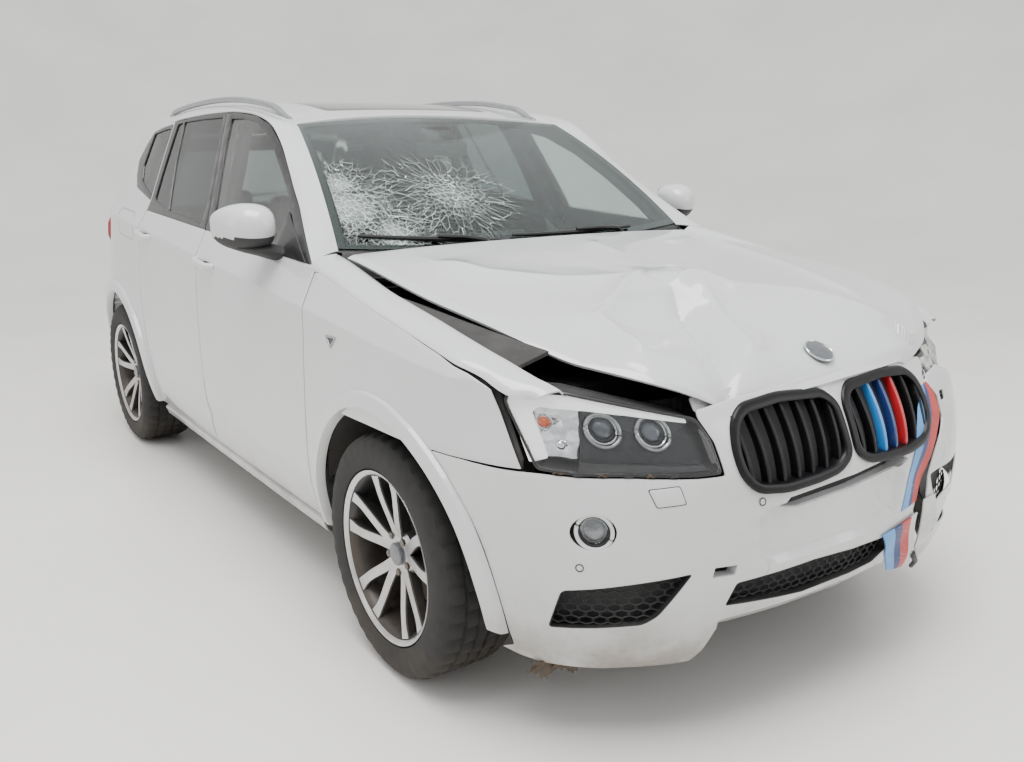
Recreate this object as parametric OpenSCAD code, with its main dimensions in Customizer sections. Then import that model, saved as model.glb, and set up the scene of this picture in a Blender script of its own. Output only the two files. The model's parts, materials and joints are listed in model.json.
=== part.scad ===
// A five-door sport utility car after a front-end crash, standing on its wheels.
// X is the width, with the car's left side at +X. The front faces -Y. Z is up, and the ground is z = 0.
// The origin lies on the ground at the middle of the overall length. Millimetres.

/* [Body] */
// Length over both bumpers
body_length = 4648; // [4400:1:4900]
// Width over the wheel arches, without the mirrors
body_width = 1881; // [1780:1:1980]
// Height of the middle of the roof panel
roof_height = 1670; // [1580:1:1780]
// Distance between the axles
wheelbase = 2810; // [2700:1:2920]
// From the front bumper's tip to the front axle
front_overhang = 860; // [820:1:920]

/* [Wheels] */
// Outer radius of the tyre
tyre_radius = 352; // [335:1:370]
// Width of the tyre
tyre_width = 245; // [205:1:265]
// Radius of the rim where the tyre seats
rim_radius = 248; // [225:1:255]
// Distance between the tyres' middles on one axle
track = 1616; // [1560:1:1650]
// Gap between the tyre and the wheel arch above it
arch_gap = 74; // [60:1:95]
// Width of the painted trim round each wheel arch
arch_trim = 56; // [35:1:70]
// Radius of the brake disc
disc_radius = 165; // [140:1:175]

/* [Panels] */
// Gap between neighbouring panels
panel_gap = 5; // [4:0.5:8]
// Thickness of the outer panels with their folded edges
skin = 10; // [6:1:14]
// Depth of a side door from its skin to its inner face
door_depth = 95; // [70:1:110]
// Distance that a door's inner box stands back from its skin's edge
door_rebate = 45; // [38:1:60]
// Thickness of the window glass
glass = 5; // [4:0.5:7]

/* [Cabin] */
// Width of a front seat
seat_width = 520; // [460:1:560]
// Radius of the steering wheel's rim
steering_wheel_radius = 187; // [170:1:200]

/* [Hidden] */
LEFT = 1;
RIGHT = -1;
$fn = 72;

// ---- Where the reference lines of the body lie once the overall sizes are set ----
// Every body line is drawn on a reference car and carried to this one by X(), Y() and Z().
ref_half_width = 940.5;
ref_front_axle = -1464;
ref_rear_axle = 1346;
ref_tail = 2324;
ref_axle_height = 352;
ref_roof = 1670;
front_axle = -body_length / 2 + front_overhang;
rear_axle = front_axle + wheelbase;
rear_overhang = body_length / 2 - rear_axle;

function X(r) = r * body_width / 2 / ref_half_width;
function Y(r) = r < ref_front_axle ? front_axle + (r - ref_front_axle) * front_overhang / (ref_front_axle + ref_tail)
    : r > ref_rear_axle ? rear_axle + (r - ref_rear_axle) * rear_overhang / (ref_tail - ref_rear_axle)
    : front_axle + (r - ref_front_axle) * wheelbase / (ref_rear_axle - ref_front_axle);
function Z(r) = r < ref_axle_height ? r * tyre_radius / ref_axle_height
    : tyre_radius + (r - ref_axle_height) * (roof_height - tyre_radius) / (ref_roof - ref_axle_height);
function ref_y(y) = y < front_axle ? ref_front_axle + (y - front_axle) * (ref_front_axle + ref_tail) / front_overhang
    : y > rear_axle ? ref_rear_axle + (y - rear_axle) * (ref_tail - ref_rear_axle) / rear_overhang
    : ref_front_axle + (y - front_axle) * (ref_rear_axle - ref_front_axle) / wheelbase;
function place(p) = [X(p.x), Y(p.y), Z(p.z)];

// ---- Interpolation ----
function lerp(a, b, t) = a + (b - a) * t;
function clamp(t) = max(0, min(1, t));
function smooth(t) = let (c = clamp(t)) c * c * (3 - 2 * c);
function slope_at(p, k) = let (a = max(0, k - 1), b = min(len(p) - 1, k + 1)) (p[b][1] - p[a][1]) / (p[b][0] - p[a][0]);
// Smooth curve through points [x, value], level beyond its ends
function curve(p, x) = let (
    k = max([for (i = [0:len(p) - 2]) x >= p[i][0] ? i : 0]),
    h = p[k + 1][0] - p[k][0],
    t = clamp((x - p[k][0]) / h))
    (2 * t * t * t - 3 * t * t + 1) * p[k][1] + (t * t * t - 2 * t * t + t) * h * slope_at(p, k)
    + (-2 * t * t * t + 3 * t * t) * p[k + 1][1] + (t * t * t - t * t) * h * slope_at(p, k + 1);
function steps(n) = [for (i = [0:n]) i / n];

// ---- Closed solids from a grid of points ----
function unit(v) = v / max(1e-9, norm(v));
function quads(q) = [for (f = q) each [[f[0], f[1], f[2]], [f[0], f[2], f[3]]]];
function signed_volume(P, F) = let (v = [for (f = F) P[f[0]] * cross(P[f[1]], P[f[2]])]) v * [for (x = v) 1];
// The solid between grid G and grid H, which have the same number of rows and columns
module slab(G, H) {
    ni = len(G);
    nj = len(G[0]);
    n = ni * nj;
    P = concat([for (row = G) each row], [for (row = H) each row]);
    faces = quads([
        for (i = [0:ni - 2], j = [0:nj - 2]) each let (a = i * nj + j, b = a + 1, c = a + nj + 1, d = a + nj)
            [[a, b, c, d], [n + d, n + c, n + b, n + a]],
        for (i = [0:ni - 2]) each let (a = i * nj, b = a + nj, c = a + nj - 1, d = c + nj)
            [[a, b, n + b, n + a], [d, c, n + c, n + d]],
        for (j = [0:nj - 2]) each let (a = j, b = j + 1, c = (ni - 1) * nj + j, d = c + 1)
            [[b, a, n + a, n + b], [c, d, n + d, n + c]]]);
    flipped = signed_volume(P, faces) > 0;
    polyhedron(P, flipped ? [for (f = faces) [f[2], f[1], f[0]]] : faces);
}
// The solid bounded by closed loops of points in turn, flat at both ends
module loft(loops) {
    n = len(loops[0]);
    m = len(loops);
    P = [for (l = loops) each l];
    faces = concat(
        quads([for (k = [0:m - 2], i = [0:n - 1]) [k * n + i, k * n + (i + 1) % n, (k + 1) * n + (i + 1) % n, (k + 1) * n + i]]),
        [for (i = [1:n - 2]) [0, i + 1, i]],
        [for (i = [1:n - 2]) [(m - 1) * n, (m - 1) * n + i, (m - 1) * n + i + 1]]);
    flipped = signed_volume(P, faces) > 0;
    polyhedron(P, flipped ? [for (f = faces) [f[2], f[1], f[0]]] : faces);
}
// One closed body from pieces that run into each other
module welded() resize([0, 0, 0]) union() children();
module on_side(side) mirror([side < 0 ? 1 : 0, 0, 0]) children();
module block(low, high) translate(low) cube(high - low);
// A prism along X from an outline in Y and Z
module across(x0, x1, outline) translate([x0, 0, 0]) rotate([90, 0, 90]) linear_extrude(x1 - x0) polygon(outline);
module rod(a, b, r) translate(a) rotate([0, acos((b - a).z / norm(b - a)), atan2((b - a).y, (b - a).x)]) cylinder(h = norm(b - a), r = r, $fn = 20);

// ---- Lines of the body, in reference millimetres ----
function belt(y) = 1118 + 0.047 * (y + 960);
function crease(y) = 1000 + 0.07 * (y + 960);
plan_curve = [[-2060, 812], [-1981, 862], [-1891, 892], [-1700, 922], [-1464, 930], [-1100, 926], [-400, 930],
              [600, 932], [1100, 930], [1346, 930], [1500, 922], [1650, 905], [1828, 872], [1900, 856], [2000, 828],
              [2080, 795], [2200, 720]];
section_curve = [[180, -96], [260, -66], [330, -40], [450, -15], [600, -4], [780, 0], [900, -2], [1100, -10]];
function flare(y, z) = let (a = norm([y - ref_front_axle, z - ref_axle_height]), b = norm([y - ref_rear_axle, z - ref_axle_height]))
    8 * exp(-pow((min(a, b) - 430) / 70, 2));
// The rear draws in towards the tailgate, the pillars beside the windscreen and the lamps lean in
function tuck(y, z, glasshouse) = (0.12 * max(0, z - 650) + 0.0001 * pow(max(0, z - 900), 2)) * smooth((y - 1250) / 600)
    + 45 * smooth((y - 900) / 900) * min(1, glasshouse / 250) + 30 * smooth((-150 - y) / 400) * min(1, glasshouse / 150)
    + 26 * smooth((-1800 - y) / 110) * smooth((z - 640) / 260);
function side_ref(y, z) = let (over = max(0, min(z, belt(y)) - crease(y)), glasshouse = max(0, z - belt(y)))
    curve(plan_curve, y) + curve(section_curve, min(z, crease(y))) + flare(y, z)
    - 0.5 * over - 0.38 * glasshouse - 0.00008 * glasshouse * glasshouse - tuck(y, z, glasshouse);
function on_ref(p) = [X(side_ref(p[0], p[1])), Y(p[0]), Z(p[1])];

// Crest of the roof and its outer edge
roof_curve = [[-280, 1576], [-181, 1590], [0, 1626], [300, 1660], [650, 1670], [1100, 1655], [1500, 1622], [1900, 1572]];
function roof_half(y) = curve([[-272, 596], [300, 612], [1200, 606], [1900, 566]], y);
function roof_ref(x, y) = curve(roof_curve, y) - 24 * pow(abs(x) / roof_half(y), 2.4);
roof_us = [-1, -0.98, -0.93, -0.75, -0.5, -0.25, 0, 0.25, 0.5, 0.75, 0.93, 0.98, 1];
roof_vs = [0, 0.08, 0.18, 0.3, 0.42, 0.54, 0.66, 0.78, 0.89, 1];
function roof_point(u, v) = let (y = lerp(-172 - 91 * u * u, 1890 - 60 * u * u, v), x = u * roof_half(lerp(-263, 1830, v)))
    [x, y, roof_ref(x, y)];

// Windscreen: the lower and the upper edge, from u = -1 to 1 across the car
function screen_base(u) = [744 * u, -985 + 95 * u * u, 1122 + 27 * u * u];
function screen_top(u) = [596 * u, -181 - 91 * u * u, 1579 - 25 * u * u];
function screen(u, v) = lerp(screen_base(u), screen_top(u), v) + [0, -14, 22] * 4 * v * (1 - v);

// Outlines on the side of the body, as [y, z] in reference millimetres
// Upper edge of the side windows, from the mirror to the tail
window_line = [[-950, 1118], [-817, 1195], [-629, 1312], [-506, 1398], [-395, 1483], [-275, 1552], [-136, 1587],
               [74, 1605], [236, 1607], [492, 1602], [769, 1588], [939, 1568], [1064, 1547]];
rear_line = [[1250, 1530], [1420, 1504], [1600, 1476], [1815, 1436]];
line_a = [[-935, 300], [-948, 442], [-985, 760], [-995, 923], [-984, 1100]];
line_b = [[70, 300], [48, 640], [30, 950], [20, 1200], [92, 1413], [168, 1604]];
line_c = [[842, 300], [846, 420], [868, 540], [886, 650], [892, 800], [868, 1000], [850, 1120], [790, 1251], [792, 1407], [798, 1584]];
function reversed(p) = [for (i = [len(p) - 1:-1:0]) p[i]];
function moved(p, dy, dz = 0) = [for (q = p) q + [dy, dz]];
function between(p, y0, y1) = [for (q = p) if (q[0] > y0 && q[0] < y1) q];
g = panel_gap / 2;
front_door_outline = concat(moved(line_a, g), moved(between(window_line, -960, 150), 6, -g), [[168 - g - 2, 1605 - g]],
    moved(reversed([for (q = line_b) if (q[1] < 1600) q]), -g - 2));
rear_door_outline = concat(moved([for (q = line_b) if (q[1] < 1600) q], g + 2), [[168 + g + 2, 1606 - g]],
    moved(between(window_line, 180, 780), 0, -g), moved(reversed(line_c), -g));
front_window = [[-862, 1136], [-770, 1180], [-600, 1290], [-456, 1392], [-353, 1468], [-260, 1526], [-160, 1560], [-29, 1577],
                [105, 1580], [74, 1480], [30, 1370], [-20, 1250], [-42, belt(-42) + 14]];
rear_window = [[86, 1180], [80, 1250], [150, 1470], [201, 1588], [460, 1585], [740, 1571], [740, 1407], [739, 1249], [500, 1212], [280, 1196]];
quarter_window = [[803, 1257], [1012, 1323], [1064, 1390], [1045, 1533], [930, 1548], [817, 1556]];
wing_outline = concat([[-1700, 742], [-1880, 742], [-2010, 746], [-1980, 806], [-1945, 875], [-1918, 920], [-1850, 950], [-1750, 980], [-1600, 1010], [-1300, 1055], [-1010, 1100]],
    moved(reversed(line_a), -g));
quarter_outline = concat(moved(line_c, g), moved([for (q = window_line) if (q[0] > 900) q], 0, 12), moved(rear_line, 0, 12),
    [[1900, 1380], [2010, 1250], [2075, 1090], [2100, 930], [2100, 645], [1500, 645], [1346, 400]]);

// Openings in the front, as [x, z]
kidney = [[12, 700], [60, 668], [133, 659], [251, 655], [343, 668], [380, 710], [387, 767], [370, 826], [328, 858], [208, 868],
          [52, 858], [14, 825]];
headlight_outline = [[424, 719], [495, 722], [690, 737], [806, 739], [820, 809], [827, 875], [829, 914], [800, 926], [642, 909],
                     [529, 878], [447, 850], [424, 788]];
lower_opening = [[-440, 372], [440, 372], [400, 446], [-400, 446]];
side_opening = [[520, 495], [590, 388], [700, 360], [800, 352], [780, 462]];

// Front of the car: the outline from above for u = 0 in the middle to 1 at the wheel arch, and its lean at each height
front_x = [[0, 0], [0.22, 300], [0.4, 520], [0.58, 700], [0.72, 800], [0.86, 862], [1, 892]];
front_y = [[0, -2324], [0.22, -2306], [0.4, -2262], [0.58, -2168], [0.72, -2080], [0.86, -1985], [1, -1893]];
front_lean = [[210, 70], [330, 18], [450, 0], [600, 4], [700, 24], [800, 66], [900, 125], [960, 170]];
function front_ref(u, z) = let (a = abs(u), x = curve(front_x, a)) [sign(u) * (x + curve(section_curve, z) * x / 900),
    curve(front_y, a) + curve(front_lean, z) * (1 - 0.8 * pow(a, 3)), z];
// Rear of the car in the same way
rear_x = [[0, 0], [0.25, 330], [0.5, 580], [0.7, 730], [0.85, 806], [1, 870]];
rear_y = [[0, 2324], [0.25, 2316], [0.5, 2270], [0.7, 2178], [0.85, 2060], [1, 1836]];
rear_lean = [[230, 70], [350, 20], [450, 0], [600, 12], [700, 50], [900, 68], [1000, 80], [1100, 110]];
function rear_ref(u, z) = let (a = abs(u), x = curve(rear_x, a)) [sign(u) * (x + curve(section_curve, z) * x / 900),
    curve(rear_y, a) - curve(rear_lean, z) * (1 - 0.8 * pow(a, 3)), z];

// Bonnet, with the folds that the crash left in it
bonnet_line = [[-2260, 892], [-2150, 940], [-1900, 1000], [-1500, 1060], [-1020, 1104]];
function bonnet_half(y) = curve([[-2240, 380], [-2120, 555], [-1950, 648], [-1700, 715], [-1400, 752], [-1010, 775]], y);
function bonnet_point(u, v) = let (y = lerp(-2225 + 130 * pow(abs(u), 3), -1012 - 4 * u * u, v), x = u * bonnet_half(y))
    [x, y, curve(bonnet_line, y) - 22 * pow(abs(x) / 775, 3) + fold(x, y)];
function ridge(x, y, x0, y0, x1, y1, w) = let (d = [x1 - x0, y1 - y0], t = clamp(([x - x0, y - y0] * d) / (d * d)))
    exp(-pow(norm([x - x0, y - y0] - t * d) / w, 2));
function fold(x, y) = smooth((-1010 - y) / 200) * (30 * ridge(x, y, -60, -1560, 520, -1500, 110)
    + 30 * ridge(x, y, -420, -1760, 120, -2120, 90) + 45 * smooth((x - 250) / 350) * smooth((-1600 - y) / 400)
    - 24 * ridge(x, y, -200, -1980, 520, -1820, 80));

// ---- Parts of the side of the body ----
// All side pieces share these grid lines, so that their facets stay parallel
side_ys = [-2000, -1900, -1800, -1690, -1580, -1464, -1340, -1220, -1100, -960, -800, -640, -480, -320, -160, 0,
           200, 400, 600, 780, 900, 1020, 1140, 1250, 1346, 1450, 1560, 1680, 1800, 1920, 2020, 2110];
side_zs = [225, 290, 345, 430, 560, 700, 850, 990, 1070, 1130, 1190, 1300, 1410, 1520, 1625];
function lines_over(lines, a, b) = let (below = [for (v = lines) if (v <= a) v], above = [for (v = lines) if (v >= b) v])
    concat([len(below) ? below[len(below) - 1] : lines[0]], [for (v = lines) if (v > a && v < b) v],
        [len(above) ? above[0] : lines[len(lines) - 1]]);
module side_slab(y0, y1, z0, z1, d0, d1) {
    ys = lines_over(side_ys, y0, y1);
    zs = lines_over(side_zs, z0, z1);
    slab([for (y = ys) [for (z = zs) on_ref([y, z]) - [d0, 0, 0]]], [for (y = ys) [for (z = zs) on_ref([y, z]) - [d1, 0, 0]]]);
}
// The side skin within an outline, from depth d0 to d1
module side_panel(outline, d0, d1) {
    ys = [for (q = outline) q[0]];
    zs = [for (q = outline) q[1]];
    intersection() {
        side_slab(min(ys), max(ys), min(zs), max(zs), d0, d1);
        across(200, 1400, [for (q = outline) [Y(q[0]), Z(q[1])]]);
    }
}
module window_hole(outline, grow = 0) across(200, 1400, grown([for (q = outline) [Y(q[0]), Z(q[1])]], grow));
// Outline moved outward by d at every corner
function turn(p) = let (n = len(p)) [for (i = [0:n - 1]) p[i].x * p[(i + 1) % n].y - p[(i + 1) % n].x * p[i].y] * [for (q = p) 1];
function grown(p, d) = let (n = len(p), s = turn(p) > 0 ? 1 : -1) [for (i = [0:n - 1]) let (
    a = unit(p[i] - p[(i + n - 1) % n]), b = unit(p[(i + 1) % n] - p[i]), m = unit([a.y + b.y, -a.x - b.x]) * s)
    p[i] + m * d / max(0.5, m * [a.y, -a.x] * s)];
module arch(axle, r) translate([200, axle, tyre_radius]) rotate([0, 90, 0]) cylinder(h = 1200, r = r, $fn = 36);
arch_radius = tyre_radius + arch_gap;
trim_radius = arch_radius + arch_trim;

module facing(outline) rotate([90, 0, 0]) linear_extrude(body_length) polygon([for (q = outline) [X(q[0]), Z(q[1])]]);
// A panel of the front or the rear surface between two of its grid lines each way, from depth d0 to d1
front_us = [-1, -0.9, -0.8, -0.7, -0.6, -0.52, -0.44, -0.36, -0.28, -0.18, -0.08, 0, 0.08, 0.18, 0.28, 0.36, 0.44, 0.52, 0.6, 0.7, 0.8, 0.9, 1];
front_zs = [212, 250, 290, 330, 380, 440, 500, 560, 640, 690, 738, 790, 840, 888, 930];
rear_us = [-1, -0.9, -0.8, -0.7, -0.6, -0.57, -0.4, -0.3, -0.15, 0, 0.15, 0.3, 0.4, 0.57, 0.6, 0.7, 0.8, 0.9, 1];
module bumper_slab(rear, u0, u1, z0, z1, d0, d1) {
    function at(u, z, d) = let (p = rear ? rear_ref(u, z) : front_ref(u, z), q = rear ? rear_ref(u + 0.001, z) : front_ref(u + 0.001, z),
        n = unit([q.y - p.y, p.x - q.x, 0]) * (rear ? 1 : -1)) place(p) + n * d;
    us = lines_over(rear ? rear_us : front_us, u0, u1);
    zs = rear ? (z1 - z0 > 250 ? [z0, 300, 360, 450, 560, z1] : [z0, (z0 + z1) / 2, z1]) : lines_over(front_zs, z0, z1);
    slab([for (u = us) [for (z = zs) at(u, z, d0)]], [for (u = us) [for (z = zs) at(u, z, d1)]]);
}

// Half the width of the floor between the rear wheels
tub_half = track / 2 - tyre_width / 2 - 45.5;
module underbody() color("DimGray") welded() union() {
    block(place([-689.7, -1000, 232]), place([689.7, 870, 262]));
    block([-tub_half, Y(870), Z(232)], [tub_half, Y(900), Z(560)]);
    block([-tub_half, Y(870), Z(540)], [tub_half, Y(2190), Z(570)]);
    block(place([-660, -1040, 232]), place([660, -1000, 1037.7]));
    for (s = [LEFT, RIGHT]) on_side(s) {
        block(place([400, -2110, 430]), place([470, -1000, 520]));
        block(place([470, -900, 200]), place([540, 860, 240]));
        block(place([430, 880, 440]), place([500, 2200, 545]));
        block([X(430), Y(-1560), Z(440)], [X(470), Y(-1390), 2 * tyre_radius + 60]);
        block([X(430), Y(-1560), 2 * tyre_radius + 25], [track / 2 - tyre_width / 2 - 16.3, Y(-1390), tyre_radius + arch_radius + 16]);
        translate([track / 2 - tyre_width / 2 - 95.5, front_axle, 2 * tyre_radius + 25]) cylinder(h = Z(985) - 2 * tyre_radius - 25, r = 72, $fn = 24);
        block([track / 2 - tyre_width / 2 - 125, Y(-1390), Z(930)], [track / 2 - tyre_width / 2 - 85, Y(-1030), Z(985)]);
    }
    block(place([-120, -1010, 250]), place([120, 490, 350]));
}

// Lining over a wheel, with the ring that the arch trim covers
module wheel_house(axle, y0, y1, x0) intersection() {
    union() {
        difference() {
            intersection() {
                arch(axle, arch_radius + 22);
                side_slab(y0, y1, 345, 880, 18, 340);
            }
            translate([-40, 0, 0]) arch(axle, arch_radius + 10);
        }
        for (k = [[skin - 2, 24, trim_radius + 0.3], [18, 24, arch_radius + 10]]) difference() {
            intersection() {
                arch(axle, trim_radius + 8);
                side_slab(y0, y1, 345, 900, k[0], k[1]);
            }
            arch(axle, k[2]);
            // Clear of the bumper's end
            if (axle < 0) block([0, -body_length, 0], [X(1000), axle - 300, Z(744)]);
            if (axle > 0) block([0, axle + 300, 0], [X(1000), body_length, Z(647)]);
        }
    }
    block([x0, Y(y0), Z(345)], [X(1000), Y(y1), Z(1000)]);
}
module side_frame(side) color("WhiteSmoke") on_side(side) welded() union() {
    // Quarter panel with its window hole and wheel arch
    difference() {
        union() {
            side_panel(quarter_outline, 0, skin);
            side_panel(concat(moved(line_c, g), moved(reversed(line_c), g + 24)), skin - 1, 70);
        }
        window_hole(quarter_window);
        arch(rear_axle, trim_radius + 0.3);
        block(place([500, 2012, 940]), place([1000, 2400, 1120]));
    }
    wheel_house(rear_axle, 888, 1860, track / 2 - tyre_width / 2 - 40);
    difference() {
        block([track / 2 - tyre_width / 2 - 40, Y(866), Z(290)], [track / 2 - tyre_width / 2 - 28, Y(1850), Z(820)]);
        block([0, rear_axle - 115, 0], [X(1000), rear_axle + 115, tyre_radius + 110]);
    }
    // Inner quarter wall up to the window
    block([track / 2 - tyre_width / 2 - 40, Y(1010), Z(770)], [track / 2 - tyre_width / 2 - 28, Y(2060), Z(1180)]);
    slab([for (y = [1100, 1400, 1700, 2000]) [on_ref([y, 1165]) - [skin - 1, 0, 0], [track / 2 - tyre_width / 2 - 30, Y(y), Z(1165)]]],
         [for (y = [1100, 1400, 1700, 2000]) [on_ref([y, 1180]) - [skin - 1, 0, 0], [track / 2 - tyre_width / 2 - 30, Y(y), Z(1180)]]]);
    // Sill, hinge pillar and middle pillar
    block(place([690, -1000, 235]), place([800, 880, 330]));
    side_panel([[-1010, 300], [-1040, 760], [-1040, 1030], [-940, 1110], [-945, 760], [-930, 300]], door_depth + 12, 185);
    side_panel([[26, 300], [10, 640], [-8, 950], [-14, 1165], [92, 1165], [96, 950], [104, 640], [114, 300]],
        door_depth + 12, door_depth + 62);
    side_panel([[-14, 1130], [56, 1400], [132, 1591], [196, 1591], [134, 1400], [82, 1130]], 52, 84);
    slab([for (z = [1110, 1165]) [for (y = [-10, 80]) on_ref([y, z]) - [52, 0, 0]]],
         [for (z = [1110, 1165]) [for (y = [-10, 80]) on_ref([y, z]) - [door_depth + 55, 0, 0]]]);
    rail();
    // Rear corner beside the tailgate
    difference() {
        slab([for (k = [0:11]) [for (t = [0, 1]) tail_edge(k / 14, t, 0)]], [for (k = [0:11]) [for (t = [0, 1]) tail_edge(k / 14, t, 1)]]);
        block(place([500, 2012, 940]), place([1000, 2400, 1120]));
    }
}
// Post between the side skin and the tailgate: v goes up, t across, d inward
function tail_edge(v, t, d) = let (z = lerp(652, 1558, v), y = curve([[660, 2099], [930, 2099], [1090, 2074], [1250, 2009], [1380, 1899]], z),
    p = [side_ref(y, z) - 4, y - 4, z], q = [tail_half(z) + 7, tail_y(z, 1) - 4, z], r = lerp(p, q, t))
    place(r - [0, d * 16, 0] - [d * (1 - t) * 8, 0, 0]);
// Windscreen pillar and the rail over the doors
function rail_top() = concat([for (v = [0, 0.25, 0.5, 0.75, 1]) screen(1, v) + [1.5, 0, -1]],
    [for (v = roof_vs) if (v > 0) (v < 1 ? roof_point(1, v) : lerp(roof_point(1, 0.89), roof_point(1, 1), 0.86)) + [1.4, 0, -1]]);
rail_foot = concat([for (q = window_line) if (q[0] < 1060) q], rear_line);
module rail() {
    top = rail_top();
    foot = [for (q = rail_foot) on_ref([q[0] - (q[0] < -60 ? 8 : 0), q[1] + g + (q[0] < -60 ? 4 : 2)])];
    loft([for (i = [0:len(top) - 1]) let (a = place(top[i]), b = foot[i], pillar = i < 4, mid = lerp(a, b, 0.5))
        [a, mid + [8, 0, 10], b, b + [-46, 0, -3], mid + [-26, 0, -40], a + (pillar ? [-34, 6, -34] : [-36, 0, -46]),
         a + (pillar ? [-12, 8, -12] : [-34, 0, -27.6]), a + (pillar ? [0, 3, -8] : [-1, 0, -27.6])]]);
}
module side_frame_left() side_frame(LEFT);
module side_frame_right() side_frame(RIGHT);

module roof() color("White") welded() difference() {
    slab([for (u = roof_us) [for (v = roof_vs) place(roof_point(u, v))]],
         [for (u = roof_us) [for (v = roof_vs) place(roof_point(u, v) - [0, 0, 26])]]);
    block(place([-380, -60, 1500]), place([380, 900, 1700]));
}
module sunroof_glass() color("#101418") slab([for (u = steps(6)) [for (v = steps(6)) sun(u, v, 3)]], [for (u = steps(6)) [for (v = steps(6)) sun(u, v, 15)]]);
function sun(u, v, d) = let (x = lerp(-379.7, 379.7, u), y = lerp(-59.7, 899.7, v)) place([x, y, roof_ref(x, y) - d]);
rail_vs = [for (v = roof_vs) if (v < 0.85) v];
module roof_rails() color("Gray") for (s = [LEFT, RIGHT]) on_side(s) slab(
    [for (v = rail_vs) [for (u = [0.93, 0.98]) place(roof_point(u, v)) + [0, 0, 0.6]]],
    [for (v = rail_vs) [for (u = [0.935, 0.975]) place(roof_point(u, v) + [0, 0, v < 0.05 || v > 0.75 ? 6 : 34])]]);

module front_wing(side) color("WhiteSmoke") on_side(side) welded() union() {
    difference() {
        side_panel(wing_outline, 0, skin);
        arch(front_axle, trim_radius + 0.3);
    }
    slab([for (v = steps(10)) [for (t = steps(2)) wing_top(v, t, 0)]], [for (v = steps(10)) [for (t = steps(2)) wing_top(v, t, 1)]]);
    wheel_house(front_axle, -1930, -1045, track / 2 - tyre_width / 2 - 16);
}
function wing_top(v, t, d) = let (y = lerp(-1900, -1012, v),
    z = curve([[-1990, 890], [-1900, 930], [-1750, 980], [-1600, 1010], [-1300, 1055], [-1010, 1100]], y),
    a = [side_ref(y, z) - 1, y, z - 1], b = [bonnet_half(y) + 6, y, curve(bonnet_line, y) - 22 * pow(bonnet_half(y) / 775, 3)],
    p = lerp(a, b, t) + [0, 0, 14 * t * (1 - t)]) place(p) - [0, 0, d * skin];
module front_wing_left() front_wing(LEFT);
module front_wing_right() front_wing(RIGHT);

module arch_trims() color("WhiteSmoke") welded() for (s = [LEFT, RIGHT], a = [front_axle, rear_axle]) on_side(s) difference() {
    intersection() {
        side_slab(ref_y(a - trim_radius), ref_y(a + trim_radius), 345, 860, -9, 12);
        arch(a, trim_radius);
    }
    arch(a, arch_radius);
}
module side_skirts() color("WhiteSmoke") for (s = [LEFT, RIGHT]) on_side(s)
    slab([for (i = steps(14)) [for (z = [228, 262, 292]) on_ref([lerp(-932, 834, i), z])]],
         [for (i = steps(14)) [for (z = [228, 262, 292]) [X(800) + 0.3, Y(lerp(-932, 834, i)), Z(z)]]]);

module front_bumper() color("WhiteSmoke") welded() difference() {
    union() {
        bumper_slab(false, -1, 0.44, 212, 738, 0, 14);
        bumper_slab(false, -0.36, 0.36, 690, 888, 0, 14);
    }
    facing(lower_opening);
    facing([for (q = side_opening) [-q[0], q[1]]]);
    for (s = [1, -1]) facing([for (q = kidney) [s * q[0], q[1]]]);
    facing(headlight_outline);
    facing([for (q = headlight_outline) [-q[0], q[1]]]);
    arch(front_axle, trim_radius + 0.3);
    mirror([1, 0, 0]) arch(front_axle, trim_radius + 0.3);
}
module torn_bumper_corner() color("WhiteSmoke") translate([0.3, 0, 0]) welded() difference() {
    bumper_slab(false, 0.44, 1, 250, 738, -8, 6);
    facing(headlight_outline);
    facing(side_opening);
    arch(front_axle, trim_radius + 0.3);
}
module grilles() color("#15181a") welded() {
    bumper_slab(false, -0.44, 0.44, 330, 440, 14.3, 30);
    bumper_slab(false, -0.8, -0.36, 330, 500, 14.3, 30);
    bumper_slab(false, -0.28, 0.28, 640, 888, 14.3, 30);
}
module headlight(side) color("#22282c") on_side(side) welded() intersection() {
    bumper_slab(false, 0.28, 0.9, 690, 930, 2, 150);
    facing([for (q = grown(headlight_outline, -0.3)) [q[0], q[1]]]);
}
module headlight_left() headlight(LEFT);
module headlight_right() headlight(RIGHT);
module front_carrier() color("#1b1c1e") welded() union() {
    intersection() {
        bumper_slab(false, -0.28, 0.28, 840, 888, 30.3, 84);
        block(place([-400, -2400, 866]), place([400, -2000, 887]));
    }
    block(place([-560, -2180, 440]), place([560, -2110.3, 560]));
    for (s = [1, -1]) on_side(s) block(place([290, -2126, 340]), place([340, -2110.3, 870]));
}
module windscreen() color("#26302e") slab([for (u = steps(12)) [for (v = steps(8)) place(screen(2 * u - 1, lerp(0.012, 0.99, v)))]],
    [for (u = steps(12)) [for (v = steps(8)) place(screen(2 * u - 1, lerp(0.012, 0.99, v))) - [0, -glass * 0.5, glass]]]);
module cowl_and_wipers() color("#141414") slab([for (u = steps(10)) [for (v = [0, 1]) cowl(2 * u - 1, v, 0)]],
    [for (u = steps(10)) [for (v = [0, 1]) cowl(2 * u - 1, v, 1)]]);
function cowl(u, v, d) = place([676 * u, lerp(-1004, screen_base(u * 0.94).y - 4, v), 1078 - 40 * d + 22 * v]);

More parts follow.
